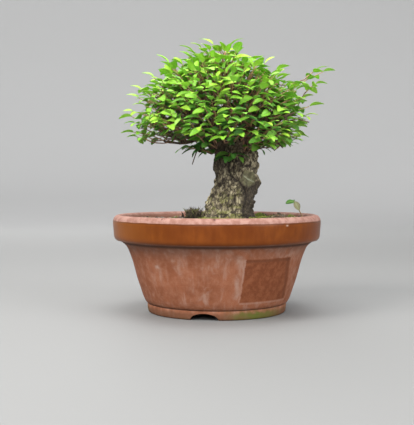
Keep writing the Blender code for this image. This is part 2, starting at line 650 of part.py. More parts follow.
def shoot_sides(path, outward):
    """The direction that a shoot's leaves turn their upper sides to, and the one across, to its two ranks."""
    along = (path[-1] - path[0]).normalized()
    above = (Vector((0, 0, 1)) + LEAF_LEAN * outward).normalized()
    square = (above - along * above.dot(along)).normalized()
    return (above + LEAF_SQUARE * square).normalized(), square.cross(along)


def grow_leaf(path, place, outward, placed, owner, rng):
    """A leaf's place on its shoot and its frame, turned or tilted until it stands clear of all that is there."""
    at, side, size = place
    root, tangent = along_path(path, at)
    above, across = shoot_sides(path, outward)
    droop, fold = rng.uniform(*LEAF_DROOP), rng.uniform(*LEAF_FOLD)
    for attempt in range(LEAF_TRIES):
        spread = math.radians(rng.uniform(*LEAF_SPREAD)) * side
        along = tangent * math.cos(spread) + across * math.sin(spread)
        along += above * (rng.uniform(-0.15, 0.22) + (attempt % 3 - 1) * 0.10 * attempt)
        frame = leaf_frame(root, along, above, rng.uniform(-0.35, 0.35) + 0.12 * attempt * (-1) ** attempt)
        length = LEAF_LENGTH * size * (1 - 0.035 * attempt)
        space, faces = blade(length, droop, fold)
        space = [frame @ point for point in space]
        rim = [frame @ point for point in leaf_rim(length, droop, fold, length * LEAF_ASPECT)]
        off_rib = side == 0 or min((point - root).dot(across) * side for point in rim) > TWIG_RADIUS + RIB_CLEAR
        if off_rib and not placed.hits(space, faces, owner):
            placed.add(space, faces, None)
            return at, side, rim
    return None


def shoot_surface(path, leaves, outward):
    """The open surface of a shoot: a narrow rib along the path with every leaf's blade joined to its edge."""
    points, faces = [], []
    across = shoot_sides(path, outward)[1]
    whole = sum((b - a).length for a, b in zip(path, path[1:]))

    def rib_point(at, side):
        half = TWIG_RADIUS * (1 - 0.35 * at / whole) * 0.8
        points.append(along_path(path, at)[0] + across * side * half)
        return at, len(points) - 1

    edges, roots = {}, {}
    for side in (1, -1):
        edge = [rib_point(0.0, side)]
        for number, (at, leaf_side, _) in enumerate(leaves):
            if leaf_side == side:
                first, last = rib_point(at - RIB_HALF_WIDTH, side), rib_point(at + RIB_HALF_WIDTH, side)
                roots[number] = (last[1], first[1]) if side == 1 else (first[1], last[1])
                edge += [first, last]
        edges[side] = edge + [rib_point(whole, side)]
    i = j = 0
    left, right = edges[1], edges[-1]
    while i < len(left) - 1 or j < len(right) - 1:
        if j == len(right) - 1 or (i < len(left) - 1 and left[i + 1][0] <= right[j + 1][0]):
            faces.append((left[i][1], right[j][1], left[i + 1][1]))
            i += 1
        else:
            faces.append((left[i][1], right[j][1], right[j + 1][1]))
            j += 1
    for number, (_, side, rim) in enumerate(leaves):
        if side == 0:
            roots[number] = (right[-1][1], left[-1][1])
        start = len(points)
        points += rim
        middle = len(points) - 1
        loop = [roots[number][0]] + list(range(start, middle)) + [roots[number][1]]
        faces += [(a, b, middle) for a, b in zip(loop, loop[1:] + loop[:1])]
    return points, faces


def make_shoot(name, path, leaves, outward, group, finish):
    shoot = new_object(name, mesh_from(name, *shoot_surface(path, leaves, outward)), group, finish)
    thick = shoot.modifiers.new("Thickness", "SOLIDIFY")
    thick.thickness, thick.offset, thick.use_even_offset = LEAF_THICK, 0.0, False
    return shoot


def grow_crown(paths, placed):
    """The leaves that find room on every shoot, the outermost leaf of each shoot first."""
    draws = {index: random.Random(SHOOT_SEED * 100 + index) for index in paths}
    places = {index: leaf_places(path, draws[index]) for index, path in paths.items()}
    leaves = {index: [] for index in paths}
    for outermost in (True, False):
        for index, path in paths.items():
            outward = flat_outward(path)
            for place in (places[index][-1:] if outermost else places[index][:-1]):
                leaf = grow_leaf(path, place, outward, placed, index, draws[index])
                if leaf:
                    leaves[index].append(leaf)
    return {index: sorted(found, key=lambda leaf: leaf[0]) for index, found in leaves.items()}


def flat_outward(path):
    out = path[-1] - SHOOT_HEART
    out.z = 0.0
    return out.normalized() * min(1.0, (path[-1] - SHOOT_HEART).xy.length / (40 * MM))


def main():
    clear_scene()
    whole = collection("zelkova_bonsai")
    cutters = collection("cutters")
    clay = material("terracotta", (0.36, 0.15, 0.08), 0.8)
    black_net = material("net_plastic", (0.03, 0.03, 0.03), 0.5)
    steel = material("wire", (0.25, 0.25, 0.26), 0.4)
    earth = material("soil", (0.10, 0.07, 0.045), 0.95)
    bark = material("bark", (0.16, 0.12, 0.075), 0.9)
    green = material("leaf_green", (0.13, 0.33, 0.04), 0.5)
    moss = material("moss", (0.10, 0.10, 0.03), 0.95)
    weed = material("weed_green", (0.12, 0.22, 0.06), 0.6)

    make_pot(whole, cutters, clay)
    make_drain_net(whole, black_net)
    make_net_wire(whole, steel)
    make_soil(whole, cutters, earth)
    for name, spot in CLUMPS.items():
        make_clump(name, *spot, whole, moss)
    make_seedling(whole, weed)
    placed = Placed()
    wood, paths = grow_frame(placed)
    fused("tree_wood", wood, whole, bark)
    crown = grow_crown(dict(sorted(paths.items())), placed)
    for index, leaves in crown.items():
        make_shoot(f"shoot_{index + 1:02d}", paths[index], leaves, flat_outward(paths[index]), whole, green)
    stand_on_origin(whole, cutters)


def stand_on_origin(group, cutters):
    """Hang every piece and cutter on one empty, moved so that the whole stands with its middle over the origin."""
    bpy.context.view_layer.update()
    seen = bpy.context.evaluated_depsgraph_get()
    corners = [item.matrix_world @ Vector(corner) for item in group.objects
               for corner in item.evaluated_get(seen).bound_box]
    root = bpy.data.objects.new("zelkova_bonsai_root", None)
    group.objects.link(root)
    for item in list(group.objects) + list(cutters.objects):
        if item is not root:
            item.parent = root
    for axis in range(2):
        values = [corner[axis] for corner in corners]
        root.location[axis] = -(min(values) + max(values)) / 2


main()
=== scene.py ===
"""Zelkova bonsai in a round clay pot: the visible pieces, the studio and the camera.

Units are metres, +Z is up, and every piece is made round the pot's axis, with the tree's front towards -Y.
"""
import json
import math
import random
import bmesh
import bpy
import numpy as np
from mathutils import Matrix, Vector, noise
from mathutils.bvhtree import BVHTree

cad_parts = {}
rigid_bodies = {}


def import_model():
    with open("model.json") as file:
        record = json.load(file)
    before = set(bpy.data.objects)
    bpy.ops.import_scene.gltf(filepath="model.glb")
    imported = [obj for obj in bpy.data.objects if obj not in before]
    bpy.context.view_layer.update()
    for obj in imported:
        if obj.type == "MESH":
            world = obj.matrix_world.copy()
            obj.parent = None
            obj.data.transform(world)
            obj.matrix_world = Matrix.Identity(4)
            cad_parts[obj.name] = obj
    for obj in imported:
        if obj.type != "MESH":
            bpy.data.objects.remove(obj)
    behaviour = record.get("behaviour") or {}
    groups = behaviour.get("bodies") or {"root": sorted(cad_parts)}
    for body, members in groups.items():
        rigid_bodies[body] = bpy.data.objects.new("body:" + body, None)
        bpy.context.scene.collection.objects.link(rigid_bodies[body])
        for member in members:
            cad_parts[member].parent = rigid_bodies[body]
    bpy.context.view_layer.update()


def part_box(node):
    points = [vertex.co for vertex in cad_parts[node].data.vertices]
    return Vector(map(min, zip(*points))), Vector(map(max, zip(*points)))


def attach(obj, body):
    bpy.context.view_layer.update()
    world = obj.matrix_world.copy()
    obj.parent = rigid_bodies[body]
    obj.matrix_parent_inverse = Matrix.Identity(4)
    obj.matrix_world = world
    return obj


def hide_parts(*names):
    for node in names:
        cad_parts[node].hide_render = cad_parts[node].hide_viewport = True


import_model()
MM = 0.001

# Studio
# A seamless pale grey sweep of painted board, flat under the pot and curving up to a wall all round, with soft
# lights above it. The camera stands a little above the rim's height, level with the middle of the trunk.

low, high = (Vector(corner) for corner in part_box("pot"))
AXIS = Vector(((low.x + high.x) / 2, (low.y + high.y) / 2, 0.0))
CAMERA_BACK, CAMERA_SIDE, CAMERA_HEIGHT, CAMERA_DIP = 741 * MM, -8.5 * MM, 112 * MM, math.radians(2.055)
LENS = 72.0
SWEEP = [(0, 0), (1100, 0), (1500, 0), (1780, 45), (1990, 170), (2130, 380), (2190, 640), (2200, 1200),
         (2200, 2600)]
SWEEP_STEPS = 128


class Tone:
    """A value, colour or vector that changes over a surface."""

    def __init__(self, finish, socket):
        self.finish, self.socket = finish, socket

    def figure(self, operation, *others):
        return self.finish.node("ShaderNodeMath", {"operation": operation}, dict(enumerate((self, *others))))

    def __add__(self, other):
        return self.figure("ADD", other)

    __radd__ = __add__

    def __mul__(self, other):
        return self.figure("MULTIPLY", other)

    __rmul__ = __mul__

    def __sub__(self, other):
        return self.figure("SUBTRACT", other)

    def __rsub__(self, other):
        return self.finish.node("ShaderNodeMath", {"operation": "SUBTRACT"}, {0: other, 1: self})

    def __truediv__(self, other):
        return self.figure("DIVIDE", other)

    def __pow__(self, other):
        return self.figure("POWER", other)


class Finish:
    """The surface of one kind of stuff."""

    def __init__(self, name, **fixed):
        self.material = bpy.data.materials.new(name)
        self.material.use_nodes = True
        self.tree = self.material.node_tree
        self.shader = self.tree.nodes["Principled BSDF"]
        for key, value in fixed.items():
            self.shader.inputs[key.replace("_", " ").title().replace("Ior", "IOR")].default_value = value
        self.place = self.node("ShaderNodeTexCoord", out="Object")
        self.x, self.y, self.z = (self.node("ShaderNodeSeparateXYZ", sockets={0: self.place}, out=i)
                                  for i in range(3))

    def node(self, kind, settings=None, sockets=None, out=0):
        made = self.tree.nodes.new(kind)
        for name, value in (settings or {}).items():
            if name == "stops":
                ramp = made.color_ramp.elements
                while len(ramp) < len(value):
                    ramp.new(0.5)
                for stop, (position, colour) in zip(ramp, value):
                    stop.position, stop.color = position, (*colour, 1.0)
            else:
                setattr(made, name, value)
        for name, value in (sockets or {}).items():
            if isinstance(value, Tone):
                self.tree.links.new(value.socket, made.inputs[name])
            else:
                made.inputs[name].default_value = value
        return Tone(self, made.outputs[out])

    def mix(self, factor, first, second):
        """Two colours, the second as far as the factor says."""
        first, second = ((*c, 1.0) if isinstance(c, tuple) else c for c in (first, second))
        return self.node("ShaderNodeMix", {"data_type": "RGBA"}, {0: factor, 6: first, 7: second}, 2)

    def coats(self, ground, *layers):
        """A colour with others over it, each a factor and a colour."""
        for factor, colour in layers:
            ground = self.mix(factor, ground, colour)
        return ground

    def stretched(self, stretch):
        """Places on the surface, drawn together along an axis where the stretch is under 1."""
        if not stretch:
            return self.place
        return self.node("ShaderNodeVectorMath", {"operation": "MULTIPLY"}, {0: self.place, 1: stretch})

    def cloud(self, size, detail=4.0, rough=0.55, stretch=None, warp=0.0):
        """Soft noise from 0 to 1 whose blotches are about as large as the size."""
        return self.node("ShaderNodeTexNoise", {}, {
            "Vector": self.stretched(stretch), "Scale": 1 / size, "Detail": detail, "Roughness": rough,
            "Distortion": warp})

    def cells(self, size, stretch=None, out=0):
        """Distance from the middle of the nearest cell, or with out=1 the cell's own random tone."""
        sockets = {"Vector": self.stretched(stretch), "Scale": 1 / size}
        return self.node("ShaderNodeTexVoronoi", {}, sockets, out)

    def step(self, value, start, end):
        """0 up to the start, 1 from the end on, and soft in between; the start may be the larger."""
        sockets = {0: value, 1: start, 2: end}
        return self.node("ShaderNodeMapRange", {"interpolation_type": "SMOOTHSTEP"}, sockets)

    def near(self, value, middle, reach):
        """1 at the middle, 0 beyond the reach."""
        return self.step((value - middle).figure("ABSOLUTE"), reach, 0.0)

    def painted(self, name):
        """What was painted on the mesh under that name."""
        return self.node("ShaderNodeAttribute", {"attribute_name": name}, out="Fac")

    def bump(self, height, distance):
        return self.node("ShaderNodeBump", {}, {"Strength": 1.0, "Distance": distance, "Height": height})

    def feed(self, **tones):
        for key, tone in tones.items():
            self.tree.links.new(tone.socket, self.shader.inputs[key.replace("_", " ").title()])


def curve_point(a, b, c, d, t):
    """The point at a share t of the way from b to c, on a smooth curve through all four."""
    return 0.5 * (2 * b + (c - a) * t + (2 * a - 5 * b + 4 * c - d) * t * t
                  + (3 * b - a - 3 * c + d) * t ** 3)


def smooth_path(points, step):
    """Points about a step apart on a smooth curve through the given ones."""
    ends = [2 * points[0] - points[1]] + points + [2 * points[-1] - points[-2]]
    line = [points[0]]
    for a, b, c, d in zip(ends, ends[1:], ends[2:], ends[3:]):
        count = max(1, round((c - b).length / step))
        line += [curve_point(a, b, c, d, i / count) for i in range(1, count + 1)]
    return line


def grid_faces(rows, columns, round_rows=False, round_columns=False):
    """Quads over a grid of points that are numbered row by row."""
    last_row, last_column = (rows if round_rows else rows - 1), (columns if round_columns else columns - 1)
    i, j = np.meshgrid(np.arange(last_row), np.arange(last_column), indexing="ij")
    k, m = (i + 1) % rows, (j + 1) % columns
    return np.stack([i * columns + j, i * columns + m, k * columns + m, k * columns + j], -1).reshape(-1, 4)


def sheet_mesh(name, points, faces):
    mesh = bpy.data.meshes.new(name)
    mesh.from_pydata([tuple(point) for point in points], [], [tuple(int(i) for i in face) for face in faces])
    mesh.update()
    return mesh


def turned(profile, steps):
    """Points of a profile of (radius, height) turned round the axis, profile point by profile point."""
    profile, turns = np.array(profile), np.arange(steps) * math.tau / steps
    radius, height = profile[:, 0][:, None], profile[:, 1][:, None]
    return np.stack([radius * np.cos(turns), radius * np.sin(turns), height + 0 * turns], -1).reshape(-1, 3)


def placed_object(name, mesh, finish):
    made = bpy.data.objects.new(name, mesh)
    bpy.context.scene.collection.objects.link(made)
    made.location = AXIS
    mesh.materials.append(finish.material)
    mesh.shade_smooth()
    return made


board = Finish("painted_board", roughness=0.75)
outwards = board.step(((board.x ** 2.0) + (board.y ** 2.0)) ** 0.5, 0.5, 2.0)
board.feed(base_color=board.mix(outwards, (0.188, 0.188, 0.185), (0.370, 0.370, 0.370)),
           normal=board.bump(board.cloud(2.5 * MM), 0.04 * MM))
line = smooth_path([Vector((r * MM, z * MM, 0)) for r, z in SWEEP[1:]], 0.06)
profile = [(0.01 * MM, 0.0)] + [(point.x, point.y) for point in line]
points = turned([(r, max(z, 0.0) - 0.03 * MM) for r, z in profile], SWEEP_STEPS)
sweep_mesh = sheet_mesh("sweep", points, grid_faces(len(profile), SWEEP_STEPS, False, True))
sweep = placed_object("sweep", sweep_mesh, board)


def soft_light(name, place, aim, size, power, colour=(1.0, 1.0, 1.0)):
    data = bpy.data.lights.new(name, "AREA")
    data.shape, data.size, data.energy, data.color = "DISK", size, power, colour
    made = bpy.data.objects.new(name, data)
    bpy.context.scene.collection.objects.link(made)
    made.location = Vector(place)
    made.rotation_euler = (Vector(aim) - Vector(place)).to_track_quat("-Z", "Y").to_euler()


soft_light("key_light", (-0.95, -0.80, 1.20), (0, 0, 0.14), 0.8, 28.0, (1.0, 0.985, 0.96))
soft_light("fill_light", (1.2, -0.9, 0.7), (0, 0, 0.16), 1.1, 21.0, (0.96, 0.98, 1.0))
soft_light("top_light", (0.0, 0.0, 1.5), (0, 0, 0.14), 1.0, 20.0)
soft_light("back_light", (-0.4, 1.3, 0.9), (0, 0, 0.14), 1.0, 7.0)
soft_light("front_light", (-0.40, -1.75, 1.00), (0, 0, 0.15), 1.2, 29.0)
soft_light("wall_light", (-0.2, 1.0, 1.1), (-0.2, 2.2, 0.45), 1.0, 3.0)

world = bpy.data.worlds.new("studio_air")
world.use_nodes = True
world.node_tree.nodes["Background"].inputs["Color"].default_value = (0.86, 0.87, 0.88, 1.0)
world.node_tree.nodes["Background"].inputs["Strength"].default_value = 1.0
bpy.context.scene.world = world
bpy.context.scene.view_settings.view_transform = "Standard"

camera_data = bpy.data.cameras.new("camera")
camera_data.lens, camera_data.sensor_width, camera_data.clip_start = LENS, 36.0, 0.02
camera = bpy.data.objects.new("camera", camera_data)
bpy.context.scene.collection.objects.link(camera)
camera.location = AXIS + Vector((CAMERA_SIDE, -CAMERA_BACK, CAMERA_HEIGHT))
camera.rotation_euler = (math.pi / 2 - CAMERA_DIP, 0.0, 0.0)
bpy.context.scene.camera = camera


# Pot
# One piece of wheel-thrown clay, fired once: a flared bowl with a drain hole, on a foot ring with three arched
# vents. Its rim band is glazed brown-orange, the lip and the body are bare, with lime bloom where water dried.

# Radius and height of the wall, in millimetres, from the lip's inner edge over the rim and down to the foot,
# along the underside, up through the drain hole and back up the inside
POT_RIM = [(81.3, 79.0), (81.9, 81.6), (83.4, 83.3), (85.6, 83.8), (87.8, 83.0), (89.3, 81.2), (90.0, 78.6),
           (89.9, 75.0), (89.5, 70.0), (89.2, 66.0), (88.7, 64.0), (87.4, 62.5), (85.4, 62.0)]
POT_BODY = [(83.2, 61.2), (81.0, 59.6), (78.6, 57.2), (76.8, 53.8), (73.8, 46.0), (71.4, 37.5), (69.1, 29.0),
            (66.5, 21.2), (63.9, 13.5), (62.4, 10.4), (61.5, 9.0), (60.4, 8.4), (60.0, 7.9), (60.4, 7.2)]
POT_FOOT = [(60.3, 4.4), (59.8, 1.2), (59.2, 0.3), (58.2, 0.0), (54.6, 0.0), (53.6, 0.3), (53.0, 1.2),
            (52.2, 4.6), (51.2, 6.3), (49.0, 6.5)]
POT_FLOOR = [(30.0, 6.5), (11.6, 6.5), (10.3, 7.0), (10.0, 8.4), (10.0, 10.6), (10.4, 11.6), (11.6, 12.0),
             (30.0, 12.0), (54.0, 12.2), (57.9, 14.6), (61.7, 26.0), (71.0, 54.0), (76.4, 64.2), (79.6, 70.0),
             (80.9, 75.0)]
POT_TURNS = 224
VENT_WIDTH, VENT_HEIGHT, VENT_COUNT, VENT_TURN = 24.0 * MM, 5.8 * MM, 3, math.radians(-100.6)
VENT_SIDES, VENT_INNER, VENT_OUTER = 36, 46.0 * MM, 66.0 * MM
GLAZE_TOP, GLAZE_FOOT = 79.3 * MM, 62.7 * MM
RIPPLE = 0.07 * MM  # height of the throwing rings


def pot_points():
    """The pot's points and quads, with the faint rings that the thrower's fingers left on the wall."""
    corners = [Vector((r, z, 0)) * MM for r, z in POT_RIM + POT_BODY + POT_FOOT + POT_FLOOR]
    line = smooth_path(corners + corners[:1], 1.9 * MM)[:-1]
    grid = turned([(point.x, point.y) for point in line], POT_TURNS)
    for point in grid:
        reach = math.hypot(point[0], point[1])
        if 8 * MM < point[2] < 61 * MM and reach > 58 * MM:
            turn = math.atan2(point[1], point[0])
            wave = math.sin(point[2] / (0.55 * MM) + 0.6 * turn)
            wave *= noise.noise(Vector((0, 0, point[2] / (5 * MM))))
            swell = 0.10 * MM * noise.noise(Vector(point) / (22 * MM))
            point[:2] *= 1 + (RIPPLE * wave + swell) / reach
    return grid, grid_faces(len(line), POT_TURNS, True, True)[:, ::-1]


def vent_bar(turn):
    """The space of one vent through the foot ring: half an oval bar, its lower half below the ground."""
    rings = []
    for reach in (VENT_INNER, VENT_OUTER):
        for i in range(VENT_SIDES):
            t = math.tau * i / VENT_SIDES
            spot = Vector((reach, VENT_WIDTH / 2 * math.cos(t), VENT_HEIGHT * math.sin(t)))
            rings.append(Matrix.Rotation(turn, 3, "Z") @ spot)
    faces = [tuple(face) for face in grid_faces(2, VENT_SIDES, False, True)]
    ends = [tuple(reversed(range(VENT_SIDES))), tuple(range(VENT_SIDES, 2 * VENT_SIDES))]
    return sheet_mesh("vent", rings, faces + ends)


clay = Finish("fired_clay", specular_ior_level=0.16)
reach = ((clay.x ** 2.0) + (clay.y ** 2.0)) ** 0.5
turn = clay.x.figure("ARCTAN2", clay.y * -1.0)  # 0 at the front, growing towards the right
wobble = (clay.cloud(9 * MM, 2.0) - 0.5) * (1.1 * MM)
glazed = (clay.step(clay.z + wobble, GLAZE_TOP + 0.3 * MM, GLAZE_TOP - 0.2 * MM)
          * clay.step(clay.z - wobble * 0.5, GLAZE_FOOT - 0.5 * MM, GLAZE_FOOT + 0.1 * MM)
          * clay.step(reach, 84.0 * MM, 85.0 * MM))
lip = clay.step(clay.z, GLAZE_TOP - 1.5 * MM, GLAZE_TOP + 0.4 * MM)
inside = clay.step(reach, 82.6 * MM, 81.4 * MM) * clay.step(clay.z, 60 * MM, 62 * MM)
broad = clay.cloud(24 * MM, 3.0)
mottle = clay.cloud(5 * MM, 6.0, 0.6)
tall_wall = clay.step(clay.z, 14 * MM, 24 * MM) * clay.step(clay.z, 56 * MM, 48 * MM)
grain = clay.cloud(0.5 * MM, 3.0)
streaks = clay.cloud(5.5 * MM, 5.0, 0.6, stretch=(1.0, 1.0, 0.16), warp=0.4)
dabs = clay.cloud(8 * MM, 3.0, 0.5, stretch=(1.0, 1.0, 0.7), warp=1.0)

body = clay.coats(
    clay.mix(clay.step(broad, 0.35, 0.68), (0.190, 0.064, 0.030), (0.240, 0.086, 0.043)),
    (clay.step(mottle, 0.42, 0.72) * 0.55, (0.285, 0.129, 0.078)),
    (clay.step(mottle, 0.46, 0.24) * 0.45, (0.150, 0.047, 0.023)))
bloom = clay.step(streaks, 0.44, 0.80) * clay.step(broad, 0.32, 0.60) * 0.58
bloom = bloom + clay.step(dabs, 0.55, 0.80) * 0.34
bloom = bloom + clay.near(turn, 0.225, 0.06) * tall_wall * clay.step(dabs, 0.35, 0.60) * 0.45
dusty = clay.step(clay.z, 47 * MM, 58.5 * MM) * 0.55
body = clay.mix(dusty * clay.step(clay.cloud(13 * MM), 0.30, 0.60), body, (0.171, 0.096, 0.071))

# The bare panel on the right of the front, where something once kept the lime off the wall
rise = (clay.z - 15 * MM) / (35 * MM)
left_edge, right_edge = 0.278 + rise * 0.032, 1.050 - rise * 0.120
ragged = (clay.cloud(3 * MM, 3.0) - 0.5) * 0.035
within = (clay.step(turn + ragged, left_edge - 0.006, left_edge + 0.006)
          * clay.step(turn + ragged, right_edge + 0.02, right_edge - 0.02))
tall = (clay.step(clay.z + ragged * 0.02, 14.6 * MM, 15.6 * MM)
        * clay.step(clay.z - ragged * 0.03, 51.2 * MM, 50.0 * MM))
panel = within * tall
rim_line = clay.near(turn + ragged, left_edge - 0.012, 0.022) * tall
rim_line = rim_line + clay.near(clay.z, 14.0 * MM, 1.3 * MM) * within
bloom = bloom * (1.0 - panel * 0.92) + rim_line * 0.28
spot = clay.near(turn, -0.735, 0.050) * clay.near(clay.z, 43.2 * MM, 2.4 * MM) * clay.step(mottle, 0.35, 0.52)
wedge = clay.near(turn, -0.185, 0.13) * clay.step(clay.z, 27 * MM, 12 * MM)
wedge = wedge * clay.step(clay.z, 11 * MM, 13 * MM)
bloom = (bloom + spot * 0.8 + wedge * clay.step(dabs, 0.40, 0.60) * 0.55).figure("MINIMUM", 0.85)
bare = clay.mix(clay.step(mottle, 0.35, 0.70), (0.118, 0.032, 0.011), (0.182, 0.056, 0.021))
panel_shade = (clay.near(turn, right_edge - 0.05, 0.05) * tall
               + clay.near(clay.z, 49.0 * MM, 2.2 * MM) * within) * panel
# Painted shadow: the crease under the overhanging rim band and the groove above the foot are darkened
crease_shadow = (clay.near(clay.z, 60.6 * MM, 2.2 * MM) * clay.step(reach, 90 * MM, 84 * MM)
          + clay.near(clay.z, 8.2 * MM, 0.9 * MM))
# The wall is darker towards the ground over its lowest few millimetres, and greener on the right there
foot_band = clay.step(clay.z + (mottle - 0.5) * (8 * MM), 9.0 * MM, 3.5 * MM)
green_side = clay.near(turn, 0.62, 0.62) * 0.85 + clay.step(broad, 0.52, 0.62) * 0.35
under = clay.step(clay.z, 6.9 * MM, 6.3 * MM) * clay.step(reach, 54 * MM, 52 * MM)
body = clay.coats(
    body, (bloom, (0.318, 0.210, 0.165)), (panel * 0.80, bare),
    (panel_shade * clay.step(mottle, 0.30, 0.60) * 0.5, (0.072, 0.025, 0.013)),
    (crease_shadow * 0.80, (0.042, 0.020, 0.014)), (foot_band * 0.65, (0.095, 0.045, 0.024)),
    (foot_band * green_side, (0.090, 0.096, 0.018)), (under * 0.5, (0.120, 0.072, 0.054)))

chip = (clay.near(turn, -0.035, 0.022) * clay.near(clay.z, 83.0 * MM, 1.6 * MM)
        + clay.near(turn, -0.52, 0.010) * clay.near(clay.z, 82.6 * MM, 1.0 * MM))
chip = chip * clay.step(mottle, 0.25, 0.50)
pink = clay.coats(
    clay.mix(clay.step(mottle, 0.35, 0.65), (0.225, 0.112, 0.086), (0.320, 0.185, 0.150)),
    (clay.step(clay.cloud(1.6 * MM, 2.0), 0.64, 0.72) * 0.6, (0.156, 0.063, 0.042)),
    (chip.figure("MINIMUM", 1.0), (0.036, 0.012, 0.009)))
body = clay.coats(body, (lip, pink), (inside, clay.mix(broad, (0.180, 0.078, 0.051), (0.252, 0.132, 0.096))))

run = clay.cloud(6 * MM, 4.0, 0.5, stretch=(1.0, 1.0, 0.35))
nick = clay.near(turn, 0.655, 0.022) * clay.near(clay.z, 77.6 * MM, 1.1 * MM) * clay.step(mottle, 0.30, 0.5)
scuffs = clay.cloud(1.3 * MM, 3.0, 0.5, stretch=(1.0, 1.0, 2.2))
scuffs = clay.step(scuffs, 0.72, 0.80) * clay.step(broad, 0.45, 0.60)
glaze = clay.coats(
    clay.mix(clay.step(run, 0.20, 0.85), (0.108, 0.024, 0.002), (0.168, 0.043, 0.004)),
    (clay.step(broad, 0.40, 0.62) * 0.5, (0.098, 0.021, 0.002)),
    # Painted light: the glaze is lighter on the left, the side towards the key light
    (clay.step(turn, -0.35, -1.15) * 0.7, (0.195, 0.060, 0.006)),
    (clay.step(clay.z, 69 * MM, 63.5 * MM) * 0.5, (0.150, 0.038, 0.006)),
    (clay.near(clay.z, GLAZE_TOP - 0.5 * MM, 0.8 * MM) * 0.55, (0.054, 0.018, 0.007)),
    ((nick + scuffs * 0.5).figure("MINIMUM", 0.9), (0.336, 0.234, 0.180)))
rings = clay.cloud(0.9 * MM, 2.0, 0.5, stretch=(0.03, 0.03, 1.0))
relief = grain * (1.0 - glazed * 0.93) + rings * 0.8 * (1.0 - lip) * (1.0 - glazed * 0.8)
relief = relief + mottle * 0.8 - chip * 3.0
clay.feed(base_color=clay.mix(glazed, body, glaze), normal=clay.bump(relief, 0.16 * MM),
          roughness=(0.86 - bloom * 0.05) * (1.0 - glazed) + glazed * (0.27 + run * 0.14))

pot = placed_object("clay_pot", sheet_mesh("clay_pot", *pot_points()), clay)
for i in range(VENT_COUNT):
    bar = bpy.data.objects.new("vent", vent_bar(VENT_TURN + math.tau * i / VENT_COUNT))
    bpy.context.scene.collection.objects.link(bar)
    bar.location = AXIS
    opening = pot.modifiers.new("Vent", "BOOLEAN")
    opening.operation, opening.object, opening.solver = "DIFFERENCE", bar, "MANIFOLD"


def settle(target, *helpers):
    """Keep a piece's mesh as its modifiers leave it, and take away what they used."""
    bpy.context.view_layer.update()
    shaped = bpy.data.meshes.new_from_object(target.evaluated_get(bpy.context.evaluated_depsgraph_get()))
    target.modifiers.clear()
    target.data = shaped
    for helper in helpers:
        bpy.data.objects.remove(helper, do_unlink=True)


settle(pot, *[item for item in bpy.data.objects if item.name.startswith("vent")])
pot.data.shade_smooth()
pot.data.set_sharp_from_angle(angle=math.radians(42))
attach(pot, "root")
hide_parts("pot")


# Drain net
# A square of moulded black plastic mesh that lies over the drain hole and keeps the soil in. It is round-edged
# bars in one moulding, seen only through the hole.

NET_SIDE, NET_THICK, NET_CELLS, NET_REST = 28.0 * MM, 0.8 * MM, 5, 12.3 * MM

net_plastic = Finish("net_plastic", roughness=0.5)
worn = net_plastic.cloud(2 * MM, 4.0)
net_tone = net_plastic.mix(net_plastic.step(worn, 0.45, 0.75), (0.020, 0.020, 0.021), (0.075, 0.065, 0.055))
net_plastic.feed(base_color=net_tone, roughness=0.38 + worn * 0.35,
                 normal=net_plastic.bump(net_plastic.cloud(0.4 * MM), 0.05 * MM))
grid = bmesh.new()
bmesh.ops.create_grid(grid, x_segments=NET_CELLS, y_segments=NET_CELLS, size=NET_SIDE / 2)
open_cells = [face for face in grid.faces if all(
    int((spot + NET_SIDE / 2) // (NET_SIDE / NET_CELLS)) % 2 == 1 for spot in face.calc_center_median()[:2])]
bmesh.ops.delete(grid, geom=open_cells, context="FACES")
net_mesh = bpy.data.meshes.new("drain_mesh")
grid.to_mesh(net_mesh)
grid.free()
drain_mesh = placed_object("drain_mesh", net_mesh, net_plastic)
drain_mesh.location.z = NET_REST
thickness = drain_mesh.modifiers.new("Thickness", "SOLIDIFY")
thickness.thickness, thickness.offset = NET_THICK, 1.0
edges = drain_mesh.modifiers.new("Edges", "BEVEL")
edges.width, edges.segments, edges.limit_method = 0.25 * MM, 3, "ANGLE"
settle(drain_mesh)
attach(drain_mesh, "root")
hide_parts("drain_net")


# Net wire
# A piece of soft aluminium bonsai wire bent to a staple: its back holds the net down and its legs go through two
# open cells and the drain hole and are bent outwards under the floor.

WIRE_RADIUS, WIRE_TOE, WIRE_BEND, WIRE_SIDES = 0.6 * MM, 9.0 * MM, 1.3 * MM, 14
WIRE_PLAY, FLOOR_UNDERSIDE = 0.3 * MM, 6.5 * MM


def tube_points(line, radii, sides):
    """Rings round a line that keep their turn from point to point, and their faces, with round ends."""
    rings, faces = [], []
    side = Vector((0, 0, 1)).cross(line[1] - line[0])
    side = side if side.length > 1e-9 else Vector((1, 0, 0))
    for i, (point, radius) in enumerate(zip(line, radii)):
        ahead = (line[min(i + 1, len(line) - 1)] - line[max(i - 1, 0)]).normalized()
        side = (side - ahead * side.dot(ahead)).normalized()
        other = ahead.cross(side)
        for k in range(sides):
            t = math.tau * k / sides
            rings.append(point + (side * math.cos(t) + other * math.sin(t)) * radius)
        for k in range(sides if i else 0):
            a, b = (i - 1) * sides + k, (i - 1) * sides + (k + 1) % sides
            faces.append((a, b, b + sides, a + sides))
    rings.append(line[0] + (line[0] - line[1]).normalized() * radii[0] * 0.5)
    rings.append(line[-1] + (line[-1] - line[-2]).normalized() * radii[-1] * 0.5)
    start = (len(line) - 1) * sides
    for k in range(sides):
        faces.append(((k + 1) % sides, k, len(rings) - 2))
        faces.append((start + k, start + (k + 1) % sides, len(rings) - 1))
    return rings, faces


